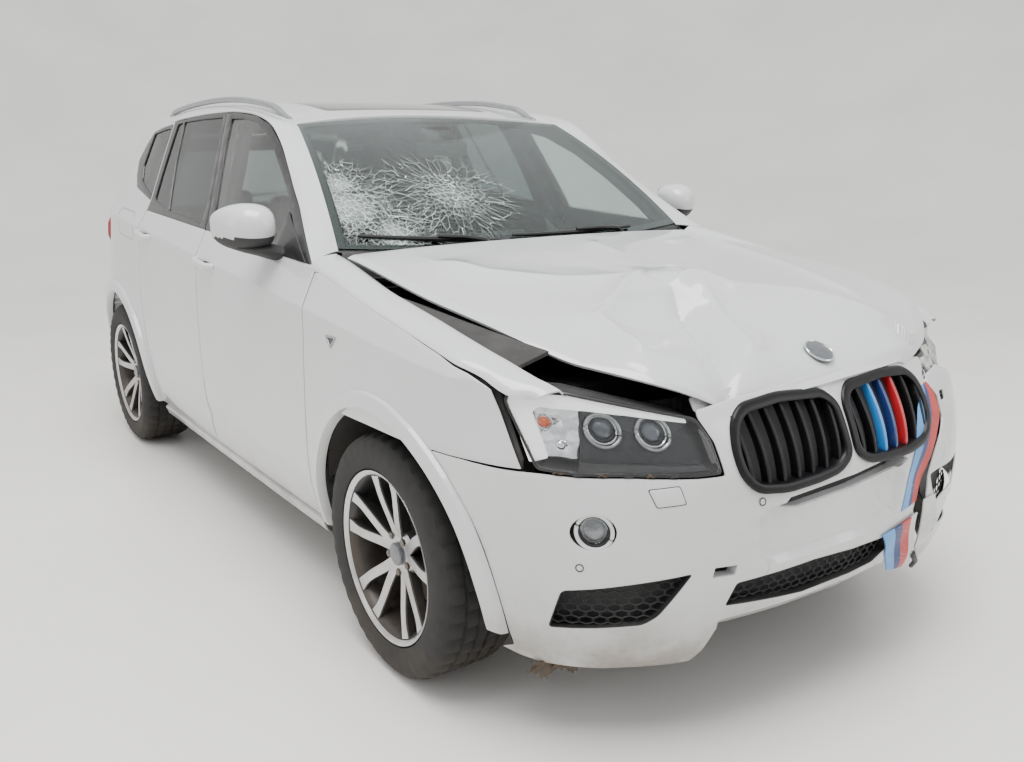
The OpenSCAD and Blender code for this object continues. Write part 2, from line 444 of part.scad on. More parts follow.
module bonnet() color("White") slab([for (u = steps(16)) [for (v = steps(16)) place(bonnet_point(2 * u - 1, v))]],
    [for (u = steps(16)) [for (v = steps(16)) place(bonnet_point(2 * u - 1, v) - [0, 0, 22])]]);
module engine() color("#2b2b2d") block(place([-330, -1800, 300.3]), place([330, -1180, 900]));
module dashboard() color("#232325") welded() union() {
    across(X(-670), X(670), [for (q = [[-999.7, 700], [-999.7, 1030], [-890, 1045], [-800, 1062], [-700, 1052], [-620, 990], [-640, 880], [-760, 720]]) [Y(q[0]), Z(q[1])]]);
    rod(place([380, -700, 900]), place([380, -590, 935]), 34);
    block(place([-120, -780, 350.3]), place([120, -600, 760]));
    block(place([-120, -700, 350.3]), place([120, 160, 600]));
}
module seat() {
    block([-seat_width / 2, Y(-420), Z(420)], [seat_width / 2, Y(90), Z(560)]);
    translate([0, Y(20), Z(520)]) rotate([-20, 0, 0]) translate([-seat_width / 2, 0, 0]) cube([seat_width, 130, 640]);
    translate([0, Y(262), Z(1120)]) rotate([-12, 0, 0]) translate([-130, -50, -30]) cube([260, 90, 190]);
    block([-seat_width / 2 + 30, Y(-340), Z(262)], [seat_width / 2 - 30, Y(60), Z(421)]);
}
module front_seats() color("#2e2e30") for (s = [LEFT, RIGHT]) translate([s * X(385), 0, 0]) welded() seat();
module rear_seat() color("#2e2e30") welded() union() {
    block([40 - tub_half, Y(500), Z(262.3)], [tub_half - 40, Y(869.7), Z(405)]);
    block([20 - tub_half, Y(420), Z(400)], [tub_half - 20, Y(869.7), Z(574)]);
    across(20 - tub_half, tub_half - 20, [for (q = [[860, 570.3], [1010, 570.3], [1215, 1150], [1195, 1190], [1120, 1190]]) [Y(q[0]), Z(q[1])]]);
}
module rear_bumper() color("WhiteSmoke") welded() difference() {
    bumper_slab(true, -1, 1, 240, 644.7, 0, 14);
    for (s = [LEFT, RIGHT]) on_side(s) arch(rear_axle, trim_radius + 0.3);
}
module tail_lights() color("#7a1512") for (s = [LEFT, RIGHT]) on_side(s) bumper_slab(true, 0.57, 0.8, 940.3, 1119.7, 0, 40);
module quarter_glass(side) on_side(side) intersection() {
    side_slab(1040, 1570, 1200, 1560, 4, 4 + glass);
    window_hole(quarter_window, -0.3);
}
module rear_quarter_glass() color("#12171a") welded() union() {
    quarter_glass(LEFT);
    quarter_glass(RIGHT);
}
module exhaust() color("#6b6b6b") {
    rod(place([60, -1100, 200]), place([60, 700, 200]), 32);
    translate([0, 0, 0]) block(place([-380, 1700, 415]), place([380, 1950, 539.7]));
}
module front_subframe() color("#3a3a3a") welded() union() {
    block(place([-400, -1800, 240]), place([400, -1180, 300]));
    for (s = [LEFT, RIGHT]) on_side(s) {
        rod(place([390, -1610, 266]), [track / 2 - 190, Y(-1480), Z(262)], 20);
        rod(place([390, -1318, 266]), [track / 2 - 190, Y(-1448), Z(262)], 20);
        block(place([400.3, -1780, 250]), place([440, -1700, 430]));
        block(place([380, -1780, 250]), place([402, -1700, 300]));
    }
}
module rear_subframe() color("#3a3a3a") welded() union() {
    block(place([-480, 1180, 270]), place([480, 1540, 330]));
    for (s = [LEFT, RIGHT]) on_side(s) {
        block([X(400), rear_axle - 60, tyre_radius - 60], [track / 2 - 70, rear_axle + 60, tyre_radius + 60]);
        block([X(430), rear_axle - 100, Z(300)], [X(470), rear_axle + 100, Z(440)]);
    }
}

// ---- Moving panels ----
module inner_box(outline, z1) side_panel([for (q = grown(outline, -door_rebate)) [q[0], min(q[1], z1)]], skin - 1, door_depth);
module side_door(outline, window, z1) welded() difference() {
    union() {
        side_panel(outline, 0, skin);
        inner_box(concat([for (q = outline) if (q[1] < z1 - 100) q], []), z1);
        difference() {
            side_panel(grown(outline, -18), skin - 1, 36);
            block([0, -body_length, 0], [X(1400), body_length, Z(z1 - 130)]);
        }
    }
    window_hole(window);
}
module front_door(side) color("WhiteSmoke") on_side(side) side_door(front_door_outline, front_window, 1108);
module rear_door(side) color("WhiteSmoke") on_side(side) difference() {
    side_door(rear_door_outline, rear_window, 1160);
}
module front_door_left() front_door(LEFT);
module front_door_right() front_door(RIGHT);
module rear_door_left() rear_door(LEFT);
module rear_door_right() rear_door(RIGHT);
module door_glass(window, side) color("#1c2624") on_side(side) welded() intersection() {
    side_panel(window, 10, 10 + glass);
    window_hole(window, -0.3);
}
module front_door_glass_left() door_glass(front_window, LEFT);
module front_door_glass_right() door_glass(front_window, RIGHT);
module rear_door_glass_left() door_glass(rear_window, LEFT);
module rear_door_glass_right() door_glass(rear_window, RIGHT);

module wing_mirror(side) color("WhiteSmoke") on_side(side) welded() union() {
    loft([for (k = [[872, 40, 40, -660], [890, 78, 66, -668], [930, 96, 76, -672], [980, 96, 76, -660], [1025, 74, 62, -630], [1049, 40, 34, -600]])
        [for (a = [0:30:330]) place([k[0], k[3] + k[1] * cos(a), 1226 + k[2] * sin(a)])]]);
    intersection() {
        side_slab(-720, -600, 1080, 1190, -90, -0.3);
        across(X(600), X(940), [for (q = [[-720, 1098], [-620, 1104], [-610, 1190], [-690, 1190]]) [Y(q[0]), Z(q[1])]]);
    }
}
module mirror_left() wing_mirror(LEFT);
module mirror_right() wing_mirror(RIGHT);

function tail_half(z) = curve([[640, 650], [900, 604], [1130, 604], [1220, 630], [1300, 600], [1558, 552]], z);
function tail_y(z, u = 0) = curve([[640, 2284], [800, 2262], [930, 2256], [1060, 2240], [1150, 2204], [1300, 2104], [1450, 2000], [1558, 1902]], z)
    - 60 * u * u;
function tail_point(u, v) = let (z = lerp(652, 1558, v)) [u * tail_half(z), tail_y(z, u), z - 24 * pow(abs(u), 2.4) * pow(v, 4)];
// The tailgate is as deep as this, square to its slope
function tail_depth(v) = let (s = smooth((v - 0.5) / 0.35)) [0, 38 - 14 * s, 30 * s];
module tailgate_hole(grow = 0) {
    outline = [[-540, 1130], [-500, 1480], [500, 1480], [540, 1130]];
    translate([0, Y(1850), 0]) rotate([-90, 0, 0]) linear_extrude(700) polygon([for (q = outline) [X(q[0]) + sign(q[0]) * grow, -Z(q[1]) + (q[1] > 1300 ? -grow : grow)]]);
}
module tailgate() color("WhiteSmoke") welded() difference() {
    slab([for (u = steps(8)) [for (v = steps(14)) place(tail_point(2 * u - 1, v))]],
         [for (u = steps(8)) [for (v = steps(14)) place(tail_point(2 * u - 1, v)) - tail_depth(v)]]);
    tailgate_hole();
}
module tailgate_glass() color("#12171a") welded() intersection() {
    slab([for (u = steps(8)) [for (v = steps(6)) place(tail_point(2 * u - 1, lerp(0.5, 0.95, v))) - [0, 6, 0]]],
         [for (u = steps(8)) [for (v = steps(6)) place(tail_point(2 * u - 1, lerp(0.5, 0.95, v))) - [0, 6 + glass * 1.6, 0]]]);
    tailgate_hole(-0.3);
}

steering_centre = place([380, -545, 950]);
module steering_wheel() color("#1c1c1e") translate(steering_centre) rotate([-65, 0, 0]) {
    rotate_extrude() translate([steering_wheel_radius - 15, 0]) circle(r = 15);
    translate([0, 0, -30]) cylinder(h = 40, r = 70);
    for (a = [0, 180, 270]) rotate([0, 0, a]) translate([60, -22, -14]) cube([steering_wheel_radius - 72, 44, 16]);
}

// ---- Running gear ----
module at_wheel(side, axle, x) translate([side * x, axle, tyre_radius]) rotate([0, side * 90, 0]) children();
module knuckle(side) color("#4a4a4c") at_wheel(side, front_axle, track / 2) {
    translate([0, 0, -120]) cylinder(h = 62, r = 62);
    translate([0, -35, -116]) cube([110, 70, 40]);
    translate([90, 0, -150]) cylinder(h = 60, r = 22);
}
module knuckle_left() knuckle(LEFT);
module knuckle_right() knuckle(RIGHT);
module rim() color("Silver") {
    rotate_extrude() polygon([[rim_radius - 18, -tyre_width / 2 + 12], [rim_radius + 3, -tyre_width / 2 + 12], [rim_radius, -tyre_width / 2 + 40],
            [rim_radius - 14, 0], [rim_radius, tyre_width / 2 - 40], [rim_radius + 3, tyre_width / 2 - 8], [rim_radius - 12, tyre_width / 2 - 8],
            [rim_radius - 26, 10]]);
    translate([0, 0, 20]) cylinder(h = 50, r = 78);
    for (a = [0:72:359], b = [-13, 13]) rotate([0, 0, a + b]) translate([60, -14, 48]) cube([rim_radius - 74, 28, 40]);
    translate([0, 0, -52]) cylinder(h = 80, r = 60);
    translate([0, 0, -38]) cylinder(h = 26, r = disc_radius);
}
module wheel_front_left() at_wheel(LEFT, front_axle, track / 2) rim();
module wheel_front_right() at_wheel(RIGHT, front_axle, track / 2) rim();
module wheel_rear_left() at_wheel(LEFT, rear_axle, track / 2) rim();
module wheel_rear_right() at_wheel(RIGHT, rear_axle, track / 2) rim();
module tyre() color("#1a1a1a") rotate_extrude() polygon([[rim_radius + 3.3, -tyre_width / 2 + 14], [rim_radius + 3.3, -tyre_width / 2 + 2],
    [rim_radius + 30, -tyre_width / 2 - 1], [tyre_radius - 40, -tyre_width / 2], [tyre_radius - 8, -tyre_width / 2 + 14], [tyre_radius, -tyre_width / 2 + 34],
    [tyre_radius, tyre_width / 2 - 34], [tyre_radius - 8, tyre_width / 2 - 14], [tyre_radius - 40, tyre_width / 2], [rim_radius + 30, tyre_width / 2 + 1],
    [rim_radius + 3.3, tyre_width / 2 - 2], [rim_radius + 3.3, tyre_width / 2 - 10], [rim_radius + 14, tyre_width / 2 - 16], [tyre_radius - 22, tyre_width / 2 - 40],
    [tyre_radius - 22, -tyre_width / 2 + 40], [rim_radius + 14, -tyre_width / 2 + 20]]);
module tyre_front_left() at_wheel(LEFT, front_axle, track / 2) tyre();
module tyre_front_right() at_wheel(RIGHT, front_axle, track / 2) tyre();
module tyre_rear_left() at_wheel(LEFT, rear_axle, track / 2) tyre();
module tyre_rear_right() at_wheel(RIGHT, rear_axle, track / 2) tyre();

// Each part is drawn where it belongs on the car
underbody();
side_frame_left();
side_frame_right();
roof();
sunroof_glass();
roof_rails();
front_wing_left();
front_wing_right();
arch_trims();
side_skirts();
front_bumper();
torn_bumper_corner();
grilles();
headlight_left();
headlight_right();
front_carrier();
windscreen();
cowl_and_wipers();
bonnet();
engine();
dashboard();
front_seats();
rear_seat();
rear_bumper();
tail_lights();
rear_quarter_glass();
exhaust();
front_subframe();
rear_subframe();
front_door_left();
front_door_right();
front_door_glass_left();
front_door_glass_right();
rear_door_left();
rear_door_right();
rear_door_glass_left();
rear_door_glass_right();
mirror_left();
mirror_right();
tailgate();
tailgate_glass();
steering_wheel();
knuckle_left();
knuckle_right();
wheel_front_left();
wheel_front_right();
wheel_rear_left();
wheel_rear_right();
tyre_front_left();
tyre_front_right();
tyre_rear_left();
tyre_rear_right();
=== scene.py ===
# %% [markdown]
# # A crashed sport utility car, dressed in Blender
# The imported CAD model is loaded first. It gives the bodies that move.

# %% The imported frame
import bpy, bmesh, json, math, random
from mathutils import Vector, Matrix

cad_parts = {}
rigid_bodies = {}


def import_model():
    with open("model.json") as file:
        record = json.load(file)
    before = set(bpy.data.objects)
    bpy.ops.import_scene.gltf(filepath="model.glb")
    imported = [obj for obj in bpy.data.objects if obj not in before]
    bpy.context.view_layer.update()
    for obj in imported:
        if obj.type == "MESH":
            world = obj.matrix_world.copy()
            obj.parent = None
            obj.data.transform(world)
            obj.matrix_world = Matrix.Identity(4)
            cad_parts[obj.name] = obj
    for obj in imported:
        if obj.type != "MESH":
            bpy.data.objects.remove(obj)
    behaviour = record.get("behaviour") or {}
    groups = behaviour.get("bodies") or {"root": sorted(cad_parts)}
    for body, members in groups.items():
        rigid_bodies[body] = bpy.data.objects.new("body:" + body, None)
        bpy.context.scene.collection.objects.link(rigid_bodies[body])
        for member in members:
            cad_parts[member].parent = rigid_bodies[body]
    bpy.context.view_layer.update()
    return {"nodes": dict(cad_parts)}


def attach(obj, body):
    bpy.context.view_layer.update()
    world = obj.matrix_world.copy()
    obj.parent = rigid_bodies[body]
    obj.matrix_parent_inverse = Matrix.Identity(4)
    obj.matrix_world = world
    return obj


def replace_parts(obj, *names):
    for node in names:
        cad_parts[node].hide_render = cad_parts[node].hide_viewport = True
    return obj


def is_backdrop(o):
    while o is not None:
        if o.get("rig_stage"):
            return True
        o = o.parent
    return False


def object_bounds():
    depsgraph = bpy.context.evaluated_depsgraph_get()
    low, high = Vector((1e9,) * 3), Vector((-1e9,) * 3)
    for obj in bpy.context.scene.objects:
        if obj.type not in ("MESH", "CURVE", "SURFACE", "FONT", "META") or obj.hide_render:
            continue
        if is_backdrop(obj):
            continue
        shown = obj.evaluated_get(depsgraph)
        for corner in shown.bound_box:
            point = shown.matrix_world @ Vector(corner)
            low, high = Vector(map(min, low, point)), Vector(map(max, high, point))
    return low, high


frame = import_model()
nodes = frame["nodes"]
print("CAD nodes:", len(nodes))

# %% [markdown]
# ## Camera, floor and light
# The camera stands in front of the car's right corner, a little above the bonnet. The floor is a wide pale plane
# and the light comes from large soft lamps, as in a bright hall, so that white paint still shows its folds.

# %% Camera
AZIMUTH, ELEVATION, ROLL = -0.6093, 0.2492, -0.0115
back = Vector((math.sin(AZIMUTH) * math.cos(ELEVATION), -math.cos(AZIMUTH) * math.cos(ELEVATION),
    math.sin(ELEVATION)))
right = (-back).cross(Vector((0, 0, 1))).normalized()
up = right.cross(-back)
right, up = (math.cos(ROLL) * right + math.sin(ROLL) * up, -math.sin(ROLL) * right + math.cos(ROLL) * up)
camera_data = bpy.data.cameras.new("camera")
camera = bpy.data.objects.new("camera", camera_data)
bpy.context.scene.collection.objects.link(camera)
camera.matrix_world = Matrix(((right.x, up.x, back.x, -2.0374), (right.y, up.y, back.y, -3.7005),
                              (right.z, up.z, back.z, 1.4749), (0, 0, 0, 1)))
camera_data.sensor_width, camera_data.lens, camera_data.shift_y = 36, 33.507, 0.0046
bpy.context.scene.camera = camera
print("camera lens:", camera_data.lens)

# %% Floor and lamps
def clear_selection():
    if bpy.context.object and bpy.context.object.mode != "OBJECT":
        bpy.ops.object.mode_set(mode="OBJECT")
    bpy.ops.object.select_all(action="DESELECT")

def activate(piece):
    """Only this piece is selected and active."""
    clear_selection()
    piece.select_set(True)
    bpy.context.view_layer.objects.active = piece

def lamp(name, place, target, size, power, colour=(1, 1, 1)):
    light = bpy.data.lights.new(name, "AREA")
    light.energy, light.size, light.color = power, size, colour
    lamp_object = bpy.data.objects.new(name, light)
    lamp_object.location = place
    lamp_object.rotation_euler = (Vector(target) - Vector(place)).to_track_quat("-Z", "Y").to_euler()
    bpy.context.scene.collection.objects.link(lamp_object)

clear_selection()
bpy.ops.mesh.primitive_grid_add(x_subdivisions=90, y_subdivisions=90, size=44)
floor = bpy.context.object
floor.name = "floor"
for v in floor.data.vertices:
    rise = max(0.0, math.hypot(v.co.x, v.co.y) - 6.5)
    v.co.z = 0.05 * rise * rise
bpy.ops.object.shade_smooth()
floor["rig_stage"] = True
lamp("overhead", (-1.5, -2.2, 7.5), (0, 0, 0.5), 5.0, 800, (1.0, 0.99, 0.97))
lamp("front_left", (4.5, -7.5, 3.2), (0, -1, 0.8), 3.0, 90)
lamp("side_right", (-8.5, 1.0, 2.6), (0, 0, 0.7), 3.0, 60)
world = bpy.data.worlds.new("hall")
bpy.context.scene.world = world
world.use_nodes = True
world.node_tree.nodes["Background"].inputs["Color"].default_value = (0.86, 0.87, 0.88, 1)
world.node_tree.nodes["Background"].inputs["Strength"].default_value = 1.5

# %% [markdown]
# ## Finishes
# Every finish is a Principled material with patterns driven by Object coordinates. Two patterns come back on most
# pieces: road dirt, which is thick near the ground and thin higher up, and fine scratches. Each is a node group, built
# once. A group gives out a mask only, and the material decides what the mask does.

# %% Node helpers
def group(name, sockets):
    """A new node group: sockets are (name, 'INPUT' or 'OUTPUT', type, default)."""
    tree = bpy.data.node_groups.new(name, "ShaderNodeTree")
    for label, way, kind, default in sockets:
        socket = tree.interface.new_socket(name=label, in_out=way, socket_type="NodeSocket" + kind)
        if default is not None:
            socket.default_value = default
    return tree, tree.nodes.new("NodeGroupInput"), tree.nodes.new("NodeGroupOutput")

def node(tree, kind, inputs=(), **settings):
    """A node with its settings and inputs; an input is a value, or a socket to link from."""
    made = tree.nodes.new("ShaderNode" + kind)
    for key, value in settings.items():
        setattr(made, key, value)
    for key, value in dict(inputs).items():
        if isinstance(value, bpy.types.NodeSocket):
            tree.links.new(value, made.inputs[key])
        else:
            made.inputs[key].default_value = value
    return made

def maths(tree, operation, a, b=0.0, c=0.0):
    return node(tree, "Math", {0: a, 1: b, 2: c}, operation=operation).outputs[0]

def noise(tree, vector, scale, detail=3.0, rough=0.55):
    return node(tree, "TexNoise", {"Vector": vector, "Scale": scale, "Detail": detail,
        "Roughness": rough}).outputs["Fac"]

def ramp(tree, value, low, high):
    return node(tree, "MapRange", {"Value": value, "From Min": low, "From Max": high}).outputs["Result"]

def blend_colour(tree, mask, a, b):
    mix = tree.nodes.new("ShaderNodeMix")
    mix.data_type = "RGBA"
    for socket, value in ((mix.inputs[0], mask), (mix.inputs[6], a), (mix.inputs[7], b)):
        if isinstance(value, bpy.types.NodeSocket):
            tree.links.new(value, socket)
        else:
            socket.default_value = value
    return mix.outputs[2]

def stretched(tree, vector, scale):
    return node(tree, "Mapping", {"Vector": vector, "Scale": scale}).outputs["Vector"]

# %% Road dirt and scratches
dirt_tree, dirt_in, dirt_out = group("road_dirt", [("Vector", "INPUT", "Vector", None), ("Ground", "INPUT", "Float",
    0.35),
    ("Amount", "INPUT", "Float", 1.0), ("Mask", "OUTPUT", "Float", None)])
t = dirt_tree
height = node(t, "SeparateXYZ", {0: dirt_in.outputs["Vector"]}).outputs["Z"]
cloud = noise(t, dirt_in.outputs["Vector"], 5.0, 6.0, 0.6)
grain = noise(t, dirt_in.outputs["Vector"], 90.0, 3.0, 0.6)
low = maths(t, "SUBTRACT", 1.0, node(t, "MapRange", {"Value": height, "From Min": 0.12,
    "From Max": dirt_in.outputs["Ground"]}, interpolation_type="SMOOTHSTEP").outputs["Result"])
film = maths(t, "MULTIPLY", ramp(t, cloud, 0.42, 0.75), ramp(t, grain, 0.3, 0.7))
mask = maths(t, "MULTIPLY", maths(t, "ADD", maths(t, "MULTIPLY", low, ramp(t, cloud, 0.3, 0.62)), maths(t,
    "MULTIPLY", film, 0.12)),
             dirt_in.outputs["Amount"])
t.links.new(node(t, "Clamp", {0: mask}).outputs[0], dirt_out.inputs["Mask"])

scratch_tree, scratch_in, scratch_out = group("fine_scratches", [("Vector", "INPUT", "Vector", None),
    ("Density", "INPUT", "Float", 0.5), ("Mask", "OUTPUT", "Float", None)])
t = scratch_tree
bent = node(t, "VectorMath", {0: scratch_in.outputs["Vector"], 1: node(t, "TexNoise",
    {"Vector": scratch_in.outputs["Vector"],
    "Scale": 2.0}).outputs["Color"]}, operation="ADD").outputs[0]
lines = noise(t, stretched(t, bent, (2.0, 5.0, 60.0)), 3.0, 2.0)
patch = ramp(t, noise(t, scratch_in.outputs["Vector"], 1.7, 2.0), 0.52, 0.7)
t.links.new(maths(t, "MULTIPLY", maths(t, "MULTIPLY", ramp(t, lines, 0.64, 0.68), patch),
    scratch_in.outputs["Density"]),
            scratch_out.inputs["Mask"])
print("groups:", [g.name for g in bpy.data.node_groups])

# %% Finish maker
MUD = (0.20, 0.165, 0.125, 1)
DUST = (0.47, 0.45, 0.41, 1)
SCUFF = (0.14, 0.13, 0.12, 1)

def finish(name, colour, rough=0.5, metal=0.0, coat=0.0, tint=0.06, tint_scale=6.0, dirt=0.6, ground=0.4, grain=0.0,
           grain_scale=400.0, scratches=0.0, mud=MUD, **plain):
    """A Principled finish: a colour that varies a little, dirt near the ground, a grain in its bump."""
    made = bpy.data.materials.new(name)
    made.use_nodes = True
    t = made.node_tree
    shader = t.nodes["Principled BSDF"]
    place = node(t, "TexCoord").outputs["Object"]
    soft = noise(t, place, tint_scale, 4.0)
    darker = tuple(c * (1 - tint) for c in colour[:3]) + (1,)
    lighter = tuple(min(1, c * (1 + 0.5 * tint)) for c in colour[:3]) + (1,)
    base = blend_colour(t, ramp(t, soft, 0.35, 0.65), darker, lighter)
    dirt_node = node(t, "Group", node_tree=dirt_tree)
    t.links.new(place, dirt_node.inputs["Vector"])
    dirt_node.inputs["Ground"].default_value, dirt_node.inputs["Amount"].default_value = ground, dirt
    base = blend_colour(t, dirt_node.outputs["Mask"], base, mud)
    roughness = maths(t, "ADD", maths(t, "MULTIPLY", soft, 0.08), rough - 0.04)
    roughness = maths(t, "ADD", roughness, maths(t, "MULTIPLY", dirt_node.outputs["Mask"], 0.5 * (1 - rough)))
    if scratches:
        scratch_node = node(t, "Group", node_tree=scratch_tree)
        t.links.new(place, scratch_node.inputs["Vector"])
        scratch_node.inputs["Density"].default_value = scratches
        base = blend_colour(t, scratch_node.outputs["Mask"], base, SCUFF if colour[0] > 0.5 else DUST)
    t.links.new(base, shader.inputs["Base Color"])
    t.links.new(roughness, shader.inputs["Roughness"])
    shader.inputs["Metallic"].default_value = metal
    shader.inputs["Coat Weight"].default_value = coat
    shader.inputs["Coat Roughness"].default_value = 0.05
    if grain:
        bump = node(t, "Bump", {"Height": noise(t, place, grain_scale, 2.0), "Strength": grain, "Distance": 0.0006})
        t.links.new(bump.outputs["Normal"], shader.inputs["Normal"])
    for key, value in plain.items():
        shader.inputs[key.replace("_", " ")].default_value = value
    return made

paint = finish("white_paint", (0.57, 0.585, 0.59), 0.30, coat=0.9, tint=0.03, tint_scale=2.5, dirt=0.85, ground=0.48,
    scratches=0.1)
bumper_paint = finish("bumper_paint", (0.57, 0.58, 0.58), 0.32, coat=0.8, tint=0.04, tint_scale=3.0, dirt=1.0,
    ground=0.52, scratches=1.0)
trim_black = finish("trim_black", (0.012, 0.012, 0.013), 0.32, coat=0.3, tint=0.2, dirt=0.25, scratches=0.2, mud=DUST)
plastic_black = finish("plastic_black", (0.018, 0.018, 0.019), 0.62, tint=0.25, tint_scale=14, dirt=0.6, grain=0.5,
    grain_scale=900, mud=DUST)
cast_metal = finish("cast_metal", (0.12, 0.115, 0.11), 0.62, metal=0.7, tint=0.3, tint_scale=20, dirt=0.6, grain=0.6)
underside = finish("underside", (0.035, 0.034, 0.033), 0.8, tint=0.35, tint_scale=12, dirt=0.9, ground=0.7,
    grain=0.7, grain_scale=120)
rubber = finish("tyre_rubber", (0.016, 0.0155, 0.015), 0.80, tint=0.3, tint_scale=20, dirt=0.30, ground=0.22,
    grain=0.6, grain_scale=500,
                mud=(0.085, 0.062, 0.042, 1))
aluminium = finish("satin_aluminium", (0.42, 0.43, 0.44), 0.34, metal=1.0, tint=0.12, tint_scale=30, dirt=0.2,
    scratches=0.3)
chrome = finish("chrome", (0.72, 0.73, 0.74), 0.10, metal=1.0, tint=0.05, dirt=0.15, mud=DUST)
rim_machined = finish("rim_machined", (0.60, 0.60, 0.60), 0.26, metal=0.9, tint=0.12, tint_scale=26, dirt=0.35,
    ground=0.65, scratches=0.6, mud=(0.17, 0.13, 0.09, 1))
rim_grey = finish("rim_grey", (0.035, 0.036, 0.039), 0.38, metal=0.5, tint=0.2, tint_scale=26, dirt=0.4, ground=0.65,
    mud=(0.17, 0.13, 0.09, 1))
disc_steel = finish("disc_steel", (0.24, 0.22, 0.20), 0.45, metal=0.9, tint=0.4, tint_scale=40, dirt=0.3, ground=0.6,
    mud=(0.2, 0.1, 0.05, 1))
leather = finish("seat_leather", (0.022, 0.022, 0.023), 0.55, tint=0.2, tint_scale=25, dirt=0.05, grain=0.8,
    grain_scale=260)
cabin_plastic = finish("cabin_plastic", (0.026, 0.026, 0.028), 0.7, tint=0.15, dirt=0.05, grain=0.7, grain_scale=350)
carpet = finish("cabin_carpet", (0.03, 0.03, 0.031), 0.95, tint=0.4, tint_scale=80, dirt=0.1, grain=1.0,
    grain_scale=600)
print("finishes:", len(bpy.data.materials))

# %% Floor finish
floor_finish = finish("hall_floor", (0.80, 0.785, 0.765), 0.35, tint=0.05, tint_scale=0.6, dirt=0.0)
floor.data.materials.append(floor_finish)
print("floor:", floor_finish.name)

# %% [markdown]
# ## The body's curves
# The bodywork is a few smooth curves: its outline from above, its section, the lean of the front, the arch of the
# roof. They are written once, in millimetres, as the CAD model has them, and every panel is wrapped onto them.

# %% Curves
MM = 0.001
FRONT_AXLE, REAR_AXLE, HUB_HEIGHT = -1464, 1346, 352
ARCH, TRIM = 426, 482

def lerp(a, b, t):
    return a + (b - a) * t

def clamp(t):
    return max(0.0, min(1.0, t))

def smooth(t):
    c = clamp(t)
    return c * c * (3 - 2 * c)

def curve(points, x):
    """A smooth line through points (x, value), level beyond its ends."""
    last = len(points) - 1
    k = 0
    while k < last - 1 and x >= points[k + 1][0]:
        k += 1
    slope = lambda i: ((points[min(last, i + 1)][1] - points[max(0, i - 1)][1])
                       / (points[min(last, i + 1)][0] - points[max(0, i - 1)][0]))
    h = points[k + 1][0] - points[k][0]
    t = clamp((x - points[k][0]) / h)
    return ((2 * t ** 3 - 3 * t * t + 1) * points[k][1] + (t ** 3 - 2 * t * t + t) * h * slope(k)
            + (3 * t * t - 2 * t ** 3) * points[k + 1][1] + (t ** 3 - t * t) * h * slope(k + 1))

PLAN = ((-2060, 812), (-1981, 862), (-1891, 892), (-1700, 922), (-1464, 930), (-1100, 926), (-400, 930), (600, 932),
        (1100, 930), (1346, 930), (1500, 922), (1650, 905), (1828, 872), (1900, 856), (2000, 828), (2080, 795),
            (2200, 720))
SECTION = ((180, -96), (260, -66), (330, -40), (450, -15), (600, -4), (780, 0), (900, -2), (1100, -10))

def belt(y):
    return 1118 + 0.047 * (y + 960)

def crease(y):
    return 1000 + 0.07 * (y + 960)

def side_x(y, z):
    over, glasshouse = max(0, min(z, belt(y)) - crease(y)), max(0, z - belt(y))
    wheel = min(math.hypot(y - FRONT_AXLE, z - HUB_HEIGHT), math.hypot(y - REAR_AXLE, z - HUB_HEIGHT))
    tuck = ((0.12 * max(0, z - 650) + 0.0001 * max(0, z - 900) ** 2) * smooth((y - 1250) / 600)
            + 45 * smooth((y - 900) / 900) * min(1, glasshouse / 250) + 30 * smooth((-150 - y) / 400) * min(1,
                glasshouse / 150)
            + 26 * smooth((-1800 - y) / 110) * smooth((z - 640) / 260))
    return (curve(PLAN, y) + curve(SECTION, min(z, crease(y))) + 8 * math.exp(-((wheel - 430) / 70) ** 2)
            - 0.5 * over - 0.38 * glasshouse - 0.00008 * glasshouse ** 2 - tuck)

def on_side(y, z, depth):
    return (side_x(y, z) - depth, y, z)

ROOF = ((-280, 1576), (-181, 1590), (0, 1626), (300, 1660), (650, 1670), (1100, 1655), (1500, 1622), (1900, 1572))

def roof_half(y):
    return curve(((-272, 596), (300, 612), (1200, 606), (1900, 566)), y)

def roof_z(x, y):
    return curve(ROOF, y) - 24 * (abs(x) / roof_half(y)) ** 2.4

def screen(u, v):
    bow = 4 * v * (1 - v)
    low, high = (744 * u, -985 + 95 * u * u, 1122 + 27 * u * u), (596 * u, -181 - 91 * u * u, 1579 - 25 * u * u)
    return (lerp(low[0], high[0], v), lerp(low[1], high[1], v) - 14 * bow, lerp(low[2], high[2], v) + 22 * bow)

print("width at the front door:", round(2 * side_x(-400, 700)), "mm")

# %% The front's and the tail's curves
FRONT_X = ((0, 0), (0.22, 300), (0.4, 520), (0.58, 700), (0.72, 800), (0.86, 862), (1, 892))
FRONT_Y = ((0, -2324), (0.22, -2306), (0.4, -2262), (0.58, -2168), (0.72, -2080), (0.86, -1985), (1, -1893))
LEAN = ((210, 70), (330, 18), (450, 0), (600, 4), (700, 24), (800, 66), (900, 125), (960, 170))
REAR_X = ((0, 0), (0.25, 330), (0.5, 580), (0.7, 730), (0.85, 806), (1, 870))
REAR_Y = ((0, 2324), (0.25, 2316), (0.5, 2270), (0.7, 2178), (0.85, 2060), (1, 1836))
REAR_LEAN = ((230, 70), (350, 20), (450, 0), (600, 12), (700, 50), (900, 68), (1000, 80), (1100, 110))

def end_point(rear, u, z):
    a = abs(u)
    xs, ys, lean = (REAR_X, REAR_Y, REAR_LEAN) if rear else (FRONT_X, FRONT_Y, LEAN)
    back_by = curve(lean, z) * (1 - 0.8 * a ** 3) * (-1 if rear else 1)
    x = curve(xs, a)
    return math.copysign(x * (1 + curve(SECTION, z) / 900), u), curve(ys, a) + back_by

